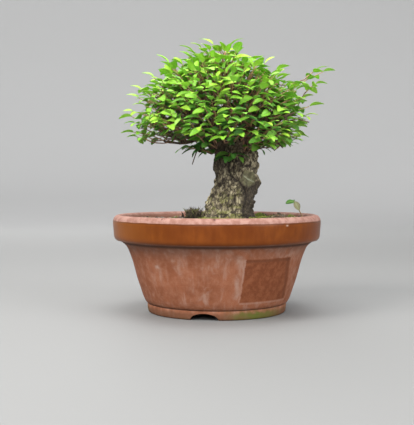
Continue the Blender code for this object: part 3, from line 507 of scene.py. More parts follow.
drawn_wire = Finish("drawn_wire", metallic=0.9, roughness=0.4)
dulled = drawn_wire.cloud(1.5 * MM, 4.0)
wire_tone = drawn_wire.mix(dulled, (0.16, 0.13, 0.11), (0.34, 0.33, 0.33))
drawn_wire.feed(base_color=wire_tone, roughness=0.3 + dulled * 0.4, normal=drawn_wire.bump(dulled, 0.05 * MM))
back = NET_REST + NET_THICK + WIRE_PLAY + WIRE_RADIUS
toe = FLOOR_UNDERSIDE - WIRE_PLAY - WIRE_RADIUS
half = math.sqrt(2) * NET_SIDE / NET_CELLS
side = [(half + WIRE_TOE, toe), (half + WIRE_BEND, toe), (half + 0.35 * WIRE_BEND, toe + 0.3 * WIRE_BEND),
        (half, toe + WIRE_BEND), (half, back - WIRE_BEND),
        (half - 0.35 * WIRE_BEND, back - 0.3 * WIRE_BEND), (half - WIRE_BEND, back)]
staple = [Vector((x, x, z * math.sqrt(2))) / math.sqrt(2) for x, z in side]
staple += [Vector((-point.x, -point.y, point.z)) for point in reversed(staple)]
rings, faces = tube_points(staple, [WIRE_RADIUS] * len(staple), WIRE_SIDES)
net_wire = placed_object("net_staple", sheet_mesh("net_staple", rings, faces), drawn_wire)
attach(net_wire, "root")
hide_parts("net_wire")


# Soil
# Packed grit of dark loam and fired clay granules with fine roots in it, mounded a little round the trunk. Grit
# lies loose on it, and moss has spread from the trunk's foot and along the rim.

SOIL_EDGE, SOIL_MOUND, SOIL_MOUND_WIDTH, SOIL_CENTRE = 77.0 * MM, 3.6 * MM, 44.0 * MM, 10.0 * MM
SOIL_ROUGH = [(11 * MM, 0.9 * MM), (5 * MM, 0.5 * MM)]
SOIL_RADIUS, SOIL_FLOOR = 80.3 * MM, 12.3 * MM
SOIL_WALL = [(55.2, 12.4), (61.8, 26.0), (70.4, 54.0), (75.8, 64.4), (79.0, 70.4), (80.1, 74.0)]
GRIT_COUNT, GRIT_SIZES = 3300, (0.55 * MM, 1.6 * MM)
MOSS_TUFTS, MOSS_SEED, GRIT_SEED = 6200, 5, 11
# Where moss and grit are heaped, how wide and how high, in millimetres
HUMMOCKS = [(54, 0, 8, 6.2), (46, -22, 7, 4.2), (63, -14, 6, 4.6), (40, 12, 7, 5.0), (72, 2, 5, 3.6),
            (64, 22, 7, 4.4), (-34, 12, 8, 3.2), (-50, -8, 8, 4.0), (-62, 14, 7, 3.8), (-40, -30, 6, 3.2),
            (14, 44, 9, 2.4), (38, 38, 8, 2.6), (-16, -46, 6, 1.8), (30, -52, 6, 2.8), (54, -42, 5, 3.0),
            (-68, -14, 5, 3.2)]


def soil_height(x, y):
    """Height of the soil's surface: a mound round the trunk, with hollows."""
    near = math.exp(-((x - SOIL_CENTRE) ** 2 + y ** 2) / SOIL_MOUND_WIDTH ** 2)
    rough = sum(noise.noise(Vector((x, y, 0)) / size) * height for size, height in SOIL_ROUGH)
    return SOIL_EDGE + SOIL_MOUND * near + rough


def heaped(x, y):
    """How much a spot stands above the packed soil where moss or grit is heaped."""
    return max(height * MM * math.exp(-((x / MM - a) ** 2 + (y / MM - b) ** 2) / width ** 2)
               for a, b, width, height in HUMMOCKS)


def moss_cover(x, y):
    """How mossy a spot is, from 0 to 1: thick by the trunk's foot and at the right, in patches elsewhere."""
    patch = noise.noise(Vector((x, y, 0.03)) / (13 * MM)) + 0.5 * noise.noise(Vector((x, y, 0.01)) / (5 * MM))
    foot = math.exp(-((math.hypot(x - 12 * MM, y) - 25 * MM) / (7 * MM)) ** 2)
    right = math.exp(-((x - 48 * MM) ** 2 + (y + 22 * MM) ** 2) / (24 * MM) ** 2)
    return min(1.0, max(0.0, 1.5 * (patch + 0.55 * foot + 0.50 * right - 0.18)))


def paint(mesh, name, values):
    mesh.attributes.new(name, "FLOAT", "POINT").data.foreach_set("value", np.array(values, dtype=np.float32))


loam = Finish("loam", roughness=0.95)
moist = loam.cloud(6 * MM, 4.0)
crumbs = loam.cells(1.3 * MM)
loam_tone = loam.coats(
    loam.mix(loam.step(moist, 0.35, 0.70), (0.050, 0.032, 0.020), (0.130, 0.088, 0.052)),
    (loam.step(loam.cells(1.3 * MM, out=1), 0.55, 0.9) * 0.5, (0.210, 0.150, 0.090)),
    (loam.painted("moss") * loam.step(loam.cloud(1.2 * MM), 0.30, 0.60), (0.095, 0.115, 0.022)))
loam.feed(base_color=loam_tone, normal=loam.bump(crumbs * -1.0 + loam.cloud(0.5 * MM), 0.6 * MM))

SOIL_TURNS, SOIL_RINGS = 180, 74
points = [Vector((0, 0, soil_height(0, 0)))]
for ring in range(1, SOIL_RINGS + 1):
    reach = (SOIL_RADIUS - 0.4 * MM) * ring / SOIL_RINGS
    for i in range(SOIL_TURNS):
        t = math.tau * i / SOIL_TURNS
        x, y = reach * math.cos(t), reach * math.sin(t)
        crumb = 0.55 * MM * noise.noise(Vector((x, y, 0)) / (1.7 * MM)) + heaped(x, y)
        crumb += 0.9 * MM * moss_cover(x, y) * (0.6 + noise.noise(Vector((x, y, 0.5)) / (3 * MM)))
        points.append(Vector((x, y, soil_height(x, y) + crumb)))
faces = [(0, i + 1, (i + 1) % SOIL_TURNS + 1) for i in range(SOIL_TURNS)]
faces += [tuple(int(v) + 1 for v in face)[::-1] for face in grid_faces(SOIL_RINGS, SOIL_TURNS, False, True)]
for r, z in reversed(SOIL_WALL):
    start = len(points)
    turns = [math.tau * i / SOIL_TURNS for i in range(SOIL_TURNS)]
    points += [Vector((r * math.cos(t), r * math.sin(t), z)) * MM for t in turns]
    faces += [(start - SOIL_TURNS + i, start + i, start + (i + 1) % SOIL_TURNS,
               start - SOIL_TURNS + (i + 1) % SOIL_TURNS) for i in range(SOIL_TURNS)]
start = len(points) - SOIL_TURNS
points.append(Vector((0, 0, SOIL_FLOOR)))
faces += [(start + (i + 1) % SOIL_TURNS, start + i, len(points) - 1) for i in range(SOIL_TURNS)]
soil_mesh = sheet_mesh("packed_soil", points, faces)
paint(soil_mesh, "moss", [moss_cover(p.x, p.y) if p.z > 70 * MM else 0.0 for p in points])
soil = placed_object("packed_soil", soil_mesh, loam)
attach(soil, "root")
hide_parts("soil")


def body_arrays(shape):
    """A bmesh's points and faces as arrays."""
    shape.verts.index_update()
    corners = [[vert.index for vert in face.verts] for face in shape.faces]
    return np.array([vert.co[:] for vert in shape.verts]), np.array(corners)


def pebble_shapes(rng, kinds, level):
    """A few angular pebbles of radius 1, as arrays of points and triangles."""
    shapes = []
    for kind in range(kinds):
        ball = bmesh.new()
        bmesh.ops.create_icosphere(ball, subdivisions=level, radius=1.0)
        for vert in ball.verts:
            vert.co *= 1 + 0.45 * noise.noise(vert.co * 1.3 + Vector((kind * 7.1, 0, 0)))
            vert.co.z *= rng.uniform(0.62, 0.8)
        shapes.append(body_arrays(ball))
        ball.free()
    return shapes


def scattered(name, items, finish, **painted):
    """One mesh from many small bodies, each (points, faces), with values painted body by body."""
    points = np.concatenate([body[0] for body in items])
    starts = np.cumsum([0] + [len(body[0]) for body in items[:-1]])
    loops = np.concatenate([(body[1] + start).reshape(-1) for body, start in zip(items, starts)])
    corners = items[0][1].shape[1]
    mesh = bpy.data.meshes.new(name)
    mesh.vertices.add(len(points))
    mesh.vertices.foreach_set("co", points.reshape(-1))
    mesh.loops.add(len(loops))
    mesh.loops.foreach_set("vertex_index", loops.astype(np.int32))
    mesh.polygons.add(len(loops) // corners)
    mesh.polygons.foreach_set("loop_start", np.arange(0, len(loops), corners, dtype=np.int32))
    mesh.update(calc_edges=True)
    mesh.validate()
    for key, values in painted.items():
        paint(mesh, key, np.concatenate([np.broadcast_to(v, len(body[0])) for v, body in zip(values, items)]))
    return placed_object(name, mesh, finish)


def turn_matrix(rng, tilt):
    turn = Matrix.Rotation(rng.uniform(0, math.tau), 3, "Z") @ Matrix.Rotation(rng.gauss(0, tilt), 3, "X")
    return np.array(turn @ Matrix.Rotation(rng.uniform(0, math.tau), 3, "Z"))


def open_soil(rng):
    """A random spot on the soil that the trunk doesn't cover."""
    while True:
        reach, t = (SOIL_RADIUS - 1.6 * MM) * math.sqrt(rng.random()), rng.uniform(0, math.tau)
        x, y = reach * math.cos(t), reach * math.sin(t)
        if ((x - 9.6 * MM) / (21 * MM)) ** 2 + (y / (18.5 * MM)) ** 2 > 1:
            return x, y


grit = Finish("grit", roughness=0.92)
shade = grit.painted("shade")
grit_tone = grit.node("ShaderNodeValToRGB", {"stops": [
    (0.0, (0.030, 0.020, 0.013)), (0.35, (0.090, 0.058, 0.034)), (0.62, (0.200, 0.125, 0.070)),
    (0.80, (0.330, 0.235, 0.150)), (0.93, (0.210, 0.195, 0.175)), (1.0, (0.500, 0.430, 0.330))]}, {0: shade})
grit_tone = grit.mix(grit.step(grit.cloud(0.7 * MM, 3.0), 0.35, 0.75) * 0.6, grit_tone, (0.060, 0.042, 0.028))
grit.feed(base_color=grit_tone, normal=grit.bump(grit.cloud(0.25 * MM, 3.0), 0.12 * MM))
rng = random.Random(GRIT_SEED)
shapes = pebble_shapes(rng, 7, 1)
bodies, shades = [], []
for _ in range(GRIT_COUNT):
    x, y = open_soil(rng)
    if rng.random() < moss_cover(x, y) * 0.8:
        continue
    size = GRIT_SIZES[0] + (GRIT_SIZES[1] - GRIT_SIZES[0]) * rng.random() ** 2.2
    shape, corners = rng.choice(shapes)
    place = np.array((x, y, soil_height(x, y) + heaped(x, y) + 0.25 * size + 0.2 * MM))
    bodies.append((shape * size @ turn_matrix(rng, 0.5).T + place, corners))
    shades.append(rng.random())
grit_layer = scattered("loose_grit", bodies, grit, shade=shades)
grit_layer.data.shade_flat()
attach(grit_layer, "root")

moss = Finish("moss", roughness=0.9)
# Painted shade: each moss shoot is darkened towards its foot, down among the others
moss_tone = moss.coats(
    moss.mix(moss.painted("shade"), (0.085, 0.130, 0.014), (0.280, 0.310, 0.045)),
    (moss.step(moss.painted("shade"), 0.86, 0.95), (0.330, 0.230, 0.090)),
    (moss.step(moss.painted("height"), 0.6, 0.0) * 0.8, (0.035, 0.042, 0.010)))
moss.feed(base_color=moss_tone, normal=moss.bump(moss.cloud(0.3 * MM), 0.1 * MM))


SHOOT_FACES = np.array([(0, 2, 1), (0, 1, 4), (0, 4, 3), (1, 2, 5), (1, 5, 4),
                        (2, 0, 3), (2, 3, 5), (3, 4, 6), (4, 5, 6), (5, 3, 6)])
SHOOT_HEIGHTS = np.array([0, 0, 0, 0.6, 0.6, 0.6, 1.0])


def moss_shoot(rng, root, out, length, width):
    """A tapered shoot of moss: three sides that run to one point."""
    side = out.cross(Vector([rng.uniform(-1, 1) for _ in range(3)])).normalized() * width
    other = out.cross(side).normalized() * width
    bend = Vector((rng.gauss(0, 0.3), rng.gauss(0, 0.3), 0)) * length
    foot = [root + side, root - side * 0.5 + other * 0.87, root - side * 0.5 - other * 0.87]
    waist = [root + out * length * 0.55 + bend * 0.3 + (point - root) * 0.9 for point in foot]
    tip = root + out * length + bend
    return np.array([point[:] for point in foot + waist + [tip]]), SHOOT_FACES


rng = random.Random(MOSS_SEED)
bodies, shades = [], []
while len(bodies) < MOSS_TUFTS:
    x, y = open_soil(rng)
    cover = moss_cover(x, y)
    if rng.random() > cover:
        continue
    out = Vector((rng.gauss(0, 0.35), rng.gauss(0, 0.35), 1)).normalized()
    root = Vector((x, y, soil_height(x, y) + heaped(x, y) + 0.6 * MM * cover - 0.1 * MM))
    length = rng.uniform(0.9, 2.2) * MM * (0.5 + 0.6 * cover)
    bodies.append(moss_shoot(rng, root, out, length, rng.uniform(0.16, 0.26) * MM))
    tone = 0.5 + 0.8 * noise.noise(Vector((x, y, 0.2)) / (9 * MM)) + rng.uniform(-0.25, 0.25)
    shades.append(min(max(tone, 0.0), 1.0))
moss_layer = scattered("moss_layer", bodies, moss, shade=shades, height=[SHOOT_HEIGHTS] * len(bodies))
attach(moss_layer, "root")


# Clumps
# Two cushions that sit in shallow seats in the soil: at the left of the trunk old roots and dead moss, dark and
# ragged, and at the right a low green cushion going brown at the top.

# Place, half widths and height, turn, count and lengths of the fine shoots, and count of the stout dead roots
CLUMP_SHAPES = {"moss_clump_left": ((-20.5, -9.0), (7.6, 6.0, 5.2), 0.4, 1300, (0.9, 2.6), 120),
                "moss_clump_right": ((40.5, -13.0), (6.4, 5.0, 3.4), 2.0, 1000, (0.7, 1.6), 0)}
CLUMP_DEPTH, CLUMP_ROUGH, CLUMP_GRAIN = 1.6 * MM, 0.85, 7.3

root_fibre = Finish("root_fibre", roughness=0.95)
fibre_tone = root_fibre.mix(root_fibre.painted("shade"), (0.016, 0.012, 0.007), (0.120, 0.090, 0.045))
mossy = root_fibre.step(root_fibre.painted("shade"), 0.72, 0.9)
fibre_tone = root_fibre.mix(mossy, fibre_tone, (0.120, 0.140, 0.030))
root_fibre.feed(base_color=fibre_tone, normal=root_fibre.bump(root_fibre.cloud(0.4 * MM), 0.2 * MM))


def clump_bodies(place, sizes, turn, count, long, stubs, rng):
    """A lumpy dome and the shoots that stand out of it."""
    dome = bmesh.new()
    bmesh.ops.create_icosphere(dome, subdivisions=5, radius=1.0)
    base = Vector((place[0] * MM, place[1] * MM, 0))
    base.z = soil_height(base.x, base.y) - CLUMP_DEPTH + 0.3 * MM
    for vert in dome.verts:
        rough = 1 + 0.35 * CLUMP_ROUGH * noise.noise(vert.co * 0.3 * CLUMP_GRAIN + Vector((turn * 9, 0, 0)))
        rough += 0.12 * noise.noise(vert.co * CLUMP_GRAIN)
        level = max(vert.co.z * rough, 0.0) * 1.25
        x, y = vert.co.x * rough * 0.92 * sizes[0], vert.co.y * rough * 0.92 * sizes[1]
        vert.co = base + Vector((x, y, level * sizes[2])) * MM
    dome.normal_update()
    shape = body_arrays(dome)
    spots = [(vert.co.copy(), vert.normal.copy()) for vert in dome.verts if vert.co.z > base.z + 1.2 * MM]
    dome.free()
    shoots = []
    for _ in range(count):
        root, out = rng.choice(spots)
        out = (out + Vector((rng.gauss(0, 0.35), rng.gauss(0, 0.35), 0.45))).normalized()
        length, width = rng.uniform(*long) * MM, rng.uniform(0.14, 0.26) * MM
        shoots.append(moss_shoot(rng, root - out * 0.2 * MM, out, length, width))
    for _ in range(stubs):
        x, y = rng.gauss(0, 0.38) * sizes[0], rng.gauss(0, 0.38) * sizes[1]
        root = base + Vector((x, y, 0.75 * sizes[2])) * MM
        out = Vector((rng.gauss(0, 0.40), rng.gauss(0, 0.40), 1)).normalized()
        shoots.append(moss_shoot(rng, root, out, rng.uniform(4.5, 10.0) * MM, rng.uniform(0.45, 1.10) * MM))
    return [shape] + shoots, [np.zeros(len(shape[0]))] + [SHOOT_HEIGHTS] * len(shoots)


rng = random.Random(MOSS_SEED + 1)
for name, clump in CLUMP_SHAPES.items():
    dead = name.endswith("left")
    bodies, heights = clump_bodies(*clump, rng)
    shades = [rng.random() ** 1.6 if dead else 0.25 + 0.7 * rng.random() for _ in bodies]
    cushion = scattered(name.replace("moss_clump", "cushion"), bodies, root_fibre if dead else moss,
                        shade=shades, height=heights)
    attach(cushion, "root")
    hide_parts(name)


# Seedling
# A weed that has come up by the rim: a thin reddish stem in the soil with three small oval leaves, one of them
# hanging so that its dull underside shows.

SEEDLING_STEM = [(75.5, -6.0, 70.5), (75.0, -6.0, 79.0), (71.8, -6.2, 86.5), (66.6, -6.4, 95.6)]
SEEDLING_LEAVES = [((66.8, -6.4, 95.3), (-1.0, -0.25, -0.30), (0.0, -0.8, 1.0), 8.0, 0.0),
                   ((67.4, -6.6, 95.0), (0.42, -0.12, -0.90), (0.10, -1.0, 0.15), 8.4, 1.0),
                   ((66.6, -6.4, 95.4), (-0.2, 1.0, 0.1), (0.0, -0.5, 1.0), 5.0, 0.0)]
SEEDLING_RADIUS = 0.55 * MM
SEEDLING_ROWS, SEEDLING_COLUMNS = 15, 9

weed = Finish("weed_green", roughness=0.5, specular_ior_level=0.4)
weed_tone = weed.mix(weed.painted("shade"), (0.060, 0.170, 0.022), (0.160, 0.150, 0.075))
weed_tone = weed.mix(weed.painted("rib") * 0.6, weed_tone, (0.240, 0.300, 0.110))
weed_tone = weed.mix(weed.painted("stalk"), weed_tone, (0.210, 0.130, 0.060))
weed.feed(base_color=weed_tone, normal=weed.bump(weed.cloud(0.5 * MM), 0.05 * MM))


def frame_towards(root, along, above, roll=0.0):
    """Matrix that lays x along one direction with z towards another."""
    x = along.normalized()
    y = above.cross(x).normalized()
    turn = Matrix((x, y, x.cross(y))).transposed().to_4x4()
    return Matrix.Translation(root) @ turn @ Matrix.Rotation(roll, 4, "X")


def thin_faces(rows, columns):
    """Quads of a thin closed leaf of two grids: the upper, the lower and the wall round their rims."""
    faces, count = grid_faces(rows, columns), rows * columns
    rim = list(range(columns)) + [i * columns + columns - 1 for i in range(1, rows)]
    rim += [count - 1 - j for j in range(1, columns)] + [i * columns for i in range(rows - 2, 0, -1)]
    wall = [(a, a + count, b + count, b) for a, b in zip(rim, rim[1:] + rim[:1])]
    return np.concatenate([faces[:, ::-1], faces + count, np.array(wall)])


def oval_leaf(length, matrix):
    """A closed thin leaf on a grid: points, quads and how near each point is to the midrib."""
    points, ribs = [], []
    for layer in (0.5, -0.5):
        for i in range(SEEDLING_ROWS):
            u = i / (SEEDLING_ROWS - 1)
            half = length * 0.33 * math.sin(math.pi * min(1.0, 0.04 + 0.95 * u) ** 0.9) ** 0.7
            for j in range(SEEDLING_COLUMNS):
                v = 2 * j / (SEEDLING_COLUMNS - 1) - 1
                rise = 0.12 * length * math.sin(2.6 * u) + 0.10 * half * abs(v)
                points.append(matrix @ Vector((u * length, v * half, rise + layer * 0.3 * MM)))
                ribs.append(max(0.0, 1 - abs(v) * 4))
    return np.array([p[:] for p in points]), thin_faces(SEEDLING_ROWS, SEEDLING_COLUMNS), ribs


stem = smooth_path([Vector(point) * MM for point in SEEDLING_STEM], 1.5 * MM)
rings, faces = tube_points(stem, [SEEDLING_RADIUS * (1 - 0.25 * i / len(stem)) for i in range(len(stem))], 10)
quads = np.array([face for face in faces if len(face) == 4])
bodies, ribs, shades = [(np.array([p[:] for p in rings]), quads)], [0.0], [0.0]
for root, along, above, length, dull in SEEDLING_LEAVES:
    matrix = frame_towards(Vector(root) * MM, Vector(along), Vector(above))
    points, faces, rib = oval_leaf(length * MM, matrix)
    bodies.append((points, faces))
    ribs.append(np.array(rib))
    shades.append(dull)
stalks = [1.0] + [0.0] * len(SEEDLING_LEAVES)
seedling = scattered("weed_seedling", bodies, weed, rib=ribs, stalk=stalks, shade=shades)
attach(seedling, "root")
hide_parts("seedling")


# Wood
# The tree's own wood, one growth: a short trunk under thick corky bark, split into two stems that fan out into
# boughs, branchlets and bare twigs. The bark has burst into long flakes, and a pruning scar on the right healed.

TRUNK = [(50, 9.5, 13, 12), (62, 9.5, 18, 16), (74, 9.5, 22.6, 20), (82, 9.6, 23.2, 20.6),
         (88, 11.0, 21.4, 19), (96, 13.2, 19.9, 18), (104, 15.8, 19.4, 17.2), (110, 17.7, 19.5, 16.2),
         (117, 17.5, 17.4, 14.0), (126, 16.0, 13.0, 8.5), (137, 13.5, 8.0, 6.5), (144, 13.0, 4.0, 4.0)]
LEFT_STEM = [(94, 10.5, 6, 9), (108, 7.6, 7.4, 12.4), (118, 5.4, 6.8, 12.4), (126, 3.9, 7.2, 11.4),
             (131, 4.6, 6.6, 10.2), (140, 4.8, 6.4, 8.2), (149, 2.8, 4.8, 5.6), (157, 0.6, 3.2, 3.6)]
RIGHT_STEM = [(98, 21.0, 9, 12), (112, 23.0, 12.6, 15.6), (122, 23.0, 12.2, 14.4), (132, 23.6, 12.4, 12.8),
              (140, 24.4, 10.8, 11), (147, 25.2, 8.0, 8.6), (154, 26.6, 4.2, 4.8)]
STEMS = [(TRUNK, 18, 3.1), (LEFT_STEM, 11, 17.4), (RIGHT_STEM, 12, 29.8)]  # sections, sides and seed of each
BOUGHS = [
    ([(1, 0, 150), (0, 1, 168), (-2, 3, 188), (-1, 3, 208)], (3.6, 1.0)),
    ([(2, -1, 139), (-14, -3, 151), (-31, -6, 160), (-50, -8, 166)], (3.8, 0.9)),
    ([(3, 2, 143), (-12, 14, 156), (-28, 27, 166), (-42, 36, 172)], (3.0, 0.9)),
    ([(4, -4, 144), (-6, -18, 155), (-18, -34, 164), (-27, -48, 168)], (3.0, 0.9)),
    ([(0, 0, 157), (-14, -4, 172), (-29, -6, 187), (-40, -4, 198)], (2.8, 0.9)),
    ([(23, -6, 144), (21, -22, 155), (19, -40, 163), (16, -55, 167)], (3.3, 0.9)),
    ([(28, -3, 146), (41, -14, 156), (54, -27, 164), (62, -36, 168)], (3.3, 0.9)),
    ([(27, 4, 144), (42, 14, 155), (57, 22, 164), (68, 24, 170)], (3.3, 0.9)),
    ([(22, 7, 145), (17, 24, 156), (12, 43, 164), (9, 57, 168)], (3.3, 0.9)),
    ([(26, 1, 151), (33, 2, 168), (41, 1, 184), (46, 0, 197)], (3.4, 0.9)),
    ([(24, 2, 152), (21, 14, 170), (19, 22, 188), (18, 26, 202)], (2.8, 0.9)),
    ([(25, -1, 152), (20, -14, 169), (14, -22, 187), (10, -25, 201)], (2.8, 0.9)),
]
BARE_TWIGS = [((47, -9, 150), (56, -15, 141)), ((60, -24, 166), (77, -27, 162)),
              ((-24, -12, 158), (-44, -22, 153)), ((-14, -14, 147), (-21, -18, 127))]
BOUGH_STEP, BOUGH_SWAY, SWAY_SIZE, BOUGH_SEED = 19.0 * MM, 7.0 * MM, 14.0 * MM, 7
GAP, CLEARANCE = 0.3 * MM, 0.45 * MM
TWIG_STEP, TWIG_NECK, TWIG_RADIUS, TWIG_END = 22.0 * MM, 3.0 * MM, 0.85 * MM, 0.45 * MM
BARE_RADII = [0.8 * MM, 0.75 * MM, 0.7 * MM, 0.45 * MM]
DETOUR, TURN_BACK, TWIG_SAG, TWIG_BACK = 0.35, 0.8, 0.06, 0.05
SHOOT_HEART, SHOOT_FLAT, SHOOT_RISE, SHOOT_STEEPEST = Vector((8, 0, 140)) * MM, 0.62, 0.30, 0.85
LEAF_LENGTH, SHOOT_SEED, TWIG_TRIES, SWAY, SWAY_MORE = 15.5 * MM, 41, 30, 0.12, 0.015
CROWN_CENTRE, CROWN_RADII, SHOOT_SPACING = Vector((3, 0, 163)) * MM, Vector((83, 84, 72)) * MM, 26.5 * MM
OUTLINE_TIPS = [(-85, 171, 40), (-83, 156, 38), (-78, 188, 40), (-65, 209, 40), (-50, 221, 40), (-29, 232, 38),
                (-12, 238, 32), (19, 237, 34), (40, 224, 38), (60, 215, 40), (79, 196, 40), (103, 213, 56),
                (90, 180, 42), (75, 151, 38)]
LOW_TIPS = [(14, -40, 134), (-34, -24, 141), (46, -44, 143), (-30, 40, 144), (30, 46, 143), (-8, -66, 150),
            (-46, -34, 157), (30, -62, 153), (60, 8, 147), (-54, 22, 156), (6, 66, 154)]
DOME_CANDIDATES, MOST_SHOOTS, DOME_LOWEST = 130, 50, -0.24


def curve_tube(points, radii, sides):
    """A plain closed tube with a point for each radius."""
    curve = bpy.data.curves.new("tube", "CURVE")
    curve.dimensions, curve.fill_mode, curve.use_fill_caps = "3D", "FULL", True
    curve.bevel_depth, curve.bevel_resolution = 1.0, (sides - 4) // 2
    line = curve.splines.new("POLY")
    line.points.add(len(points) - 1)
    for spot, point, radius in zip(line.points, points, radii):
        spot.co, spot.radius = (*point, 1.0), radius
    guide = bpy.data.objects.new("tube", curve)
    bpy.context.scene.collection.objects.link(guide)
    bpy.context.view_layer.update()
    mesh = bpy.data.meshes.new_from_object(guide.evaluated_get(bpy.context.evaluated_depsgraph_get()))
    bpy.data.objects.remove(guide, do_unlink=True)
    weld = bmesh.new()
    weld.from_mesh(mesh)
    bmesh.ops.remove_doubles(weld, verts=weld.verts, dist=0.01 * MM)
    bmesh.ops.triangulate(weld, faces=weld.faces)
    places = [vert.co.copy() for vert in weld.verts]
    faces = [tuple(vert.index for vert in face.verts) for face in weld.faces]
    weld.free()
    bpy.data.meshes.remove(mesh)
    return places, faces


def boxes_apart(a, b):
    return any(a[0][k] > b[1][k] or b[0][k] > a[1][k] for k in range(3))


class Placed:
    """What already stands in the crown, to keep new growth clear of it."""

    def __init__(self):
        self.items = []

    def add(self, points, faces, owner):
        self.items.append((self.box(points), BVHTree.FromPolygons(points, faces), owner))

    def box(self, points):
        return tuple([most(point[k] for point in points) for k in range(3)] for most in (min, max))

    def hits(self, points, faces, owner=None):
        box, tree = self.box(points), BVHTree.FromPolygons(points, faces)
        return any(item_owner != owner and not boxes_apart(box, other_box) and tree.overlap(other)
                   for other_box, other, item_owner in self.items)


def bark_swell(turn, height, seed):
    """Ribs, hollows and knobs of corky bark, as a share of the radius at a turn and height."""
    z = height / MM
    ribs = 0.045 * math.cos(3 * turn + z / 8 + seed) + 0.035 * math.cos(5 * turn - z / 6 + 2 * seed)
    knobs = 0.15 * noise.noise(Vector((2.2 * math.cos(turn), 2.2 * math.sin(turn) + seed, z / 6.5)))
    return 1.0 + ribs + knobs


def stem_body(rows, sides, seed):
    """Points and triangles of a closed stem through its sections."""
    points, faces = [], []
    for z, x, wide, deep in rows:
        for i in range(sides):
            turn = math.tau * i / sides
            grow = bark_swell(turn, z * MM, seed) * MM
            x_grown, y_grown = x * MM + wide * grow * math.cos(turn), deep * grow * math.sin(turn)
            points.append(Vector((x_grown, y_grown, z * MM)))
    for level in range(len(rows) - 1):
        for i in range(sides):
            a, b = level * sides + i, level * sides + (i + 1) % sides
            faces += [(a, b, b + sides), (a, b + sides, a + sides)]
    for start, order in ((0, 1), ((len(rows) - 1) * sides, -1)):
        points.append(sum(points[start:start + sides], Vector()) / sides)
        faces += [(start + (i + 1) % sides, start + i, len(points) - 1)[::order] for i in range(sides)]
    return points, faces


def bough_limbs():
    """The boughs and bare twigs as (points, radii, sides), and the spots that shoots may grow from."""
    noise.seed_set(BOUGH_SEED)
    limbs, spots = [], []
    for path, (thick, thin) in BOUGHS:
        line = smooth_path([Vector(point) * MM for point in path], BOUGH_STEP)
        line = [point + BOUGH_SWAY * math.sqrt(i / len(line)) * noise.noise_vector(point / SWAY_SIZE)
                for i, point in enumerate(line)]
        radii = [MM * (thick + (thin - thick) * (i / (len(line) - 1)) ** 0.8) for i in range(len(line))]
        limbs.append((line, radii, 6))
        run = 0.0
        for i in range(1, len(line)):
            run += (line[i] - line[i - 1]).length
            spots.append((line[i], run, radii[i]))
    for start, end in BARE_TWIGS:
        a, b = Vector(start) * MM, Vector(end) * MM
        near = min((spot[0] for spot in spots), key=lambda point: (point - a).length)
        limbs.append(([near, a, (a + b) / 2 + Vector((0, 0, 0.5 * MM)), b], BARE_RADII, 4))
    return limbs, spots


def limb_to(base, heading, spots):
    """The branchlet that carries a shoot: from the spot that suits it to a straight neck before its base."""
    def cost(spot):
        reach = base - spot[0]
        return reach.length * (1 + TURN_BACK * (1.0 - reach.normalized().dot(heading))) + DETOUR * spot[1]

    start, run, thick = min(spots, key=cost)
    reach, neck = base - start, base - heading * TWIG_NECK
    sag = Vector((0, 0, TWIG_SAG * reach.length))
    bend = start.lerp(neck, 0.5) - sag - heading * TWIG_BACK * reach.length
    line = smooth_path([start, bend, neck] if reach.length > TWIG_STEP else [start, neck], TWIG_STEP) + [base]
    first = min(thick * 0.8, TWIG_RADIUS * 1.5)
    radii = [first + (TWIG_RADIUS - first) * i / (len(line) - 1) for i in range(len(line))]
    new_spots = [(point, run + (point - start).length, radius)
                 for point, radius in zip(line[1:-2], radii[1:-2])]
    return (line, radii, 4), new_spots


def dome_tip(i, count):
    """The i-th of an even cover of the dome."""
    up, golden = 1 - (1 - DOME_LOWEST) * (i + 0.5) / count, math.pi * (3 - math.sqrt(5))
    flat = math.sqrt(1 - up * up)
    out = Vector((flat * math.cos(golden * i), flat * math.sin(golden * i), up))
    return CROWN_CENTRE + Vector(a * b for a, b in zip(out, CROWN_RADII))


def shoot_tips():
    """Tip and length of every main shoot: the outline's, then low ones, then an even cover of the dome."""
    tips = [(Vector((x * MM, 9.0 * MM * math.sin(2.4 * i + 1), z * MM)), length * MM)
            for i, (x, z, length) in enumerate(OUTLINE_TIPS)]
    tips += [(Vector(tip) * MM, 30 * MM) for tip in LOW_TIPS]
    for i in range(DOME_CANDIDATES):
        tip = dome_tip(i, DOME_CANDIDATES)
        if all((tip - other).length > SHOOT_SPACING for other, _ in tips) and len(tips) < MOST_SHOOTS:
            tips.append((tip, 38 * MM))
    return tips


def shoot_path(tip, length, sway, rng):
    """Points of a shoot's own twig from its base outwards, a straight neck first, and the neck's heading."""
    out = tip - SHOOT_HEART
    out.z = min(out.z * SHOOT_FLAT, out.xy.length * SHOOT_STEEPEST)
    out.normalize()
    leaf = 0.8 * LEAF_LENGTH
    end = tip - out * leaf
    swing = Vector((rng.uniform(-1, 1), rng.uniform(-1, 1), rng.uniform(-0.3, 0.6))) * sway
    heading = (out + Vector((0, 0, SHOOT_RISE)) + swing).normalized()
    base = end - (out * 0.45 + heading * 0.55) * (length - leaf)
    bend = base + heading * (length - leaf) * 0.5
    neck = base + heading * TWIG_NECK
    return [base] + smooth_path([neck, bend, end], (length - leaf) / 3.5), heading


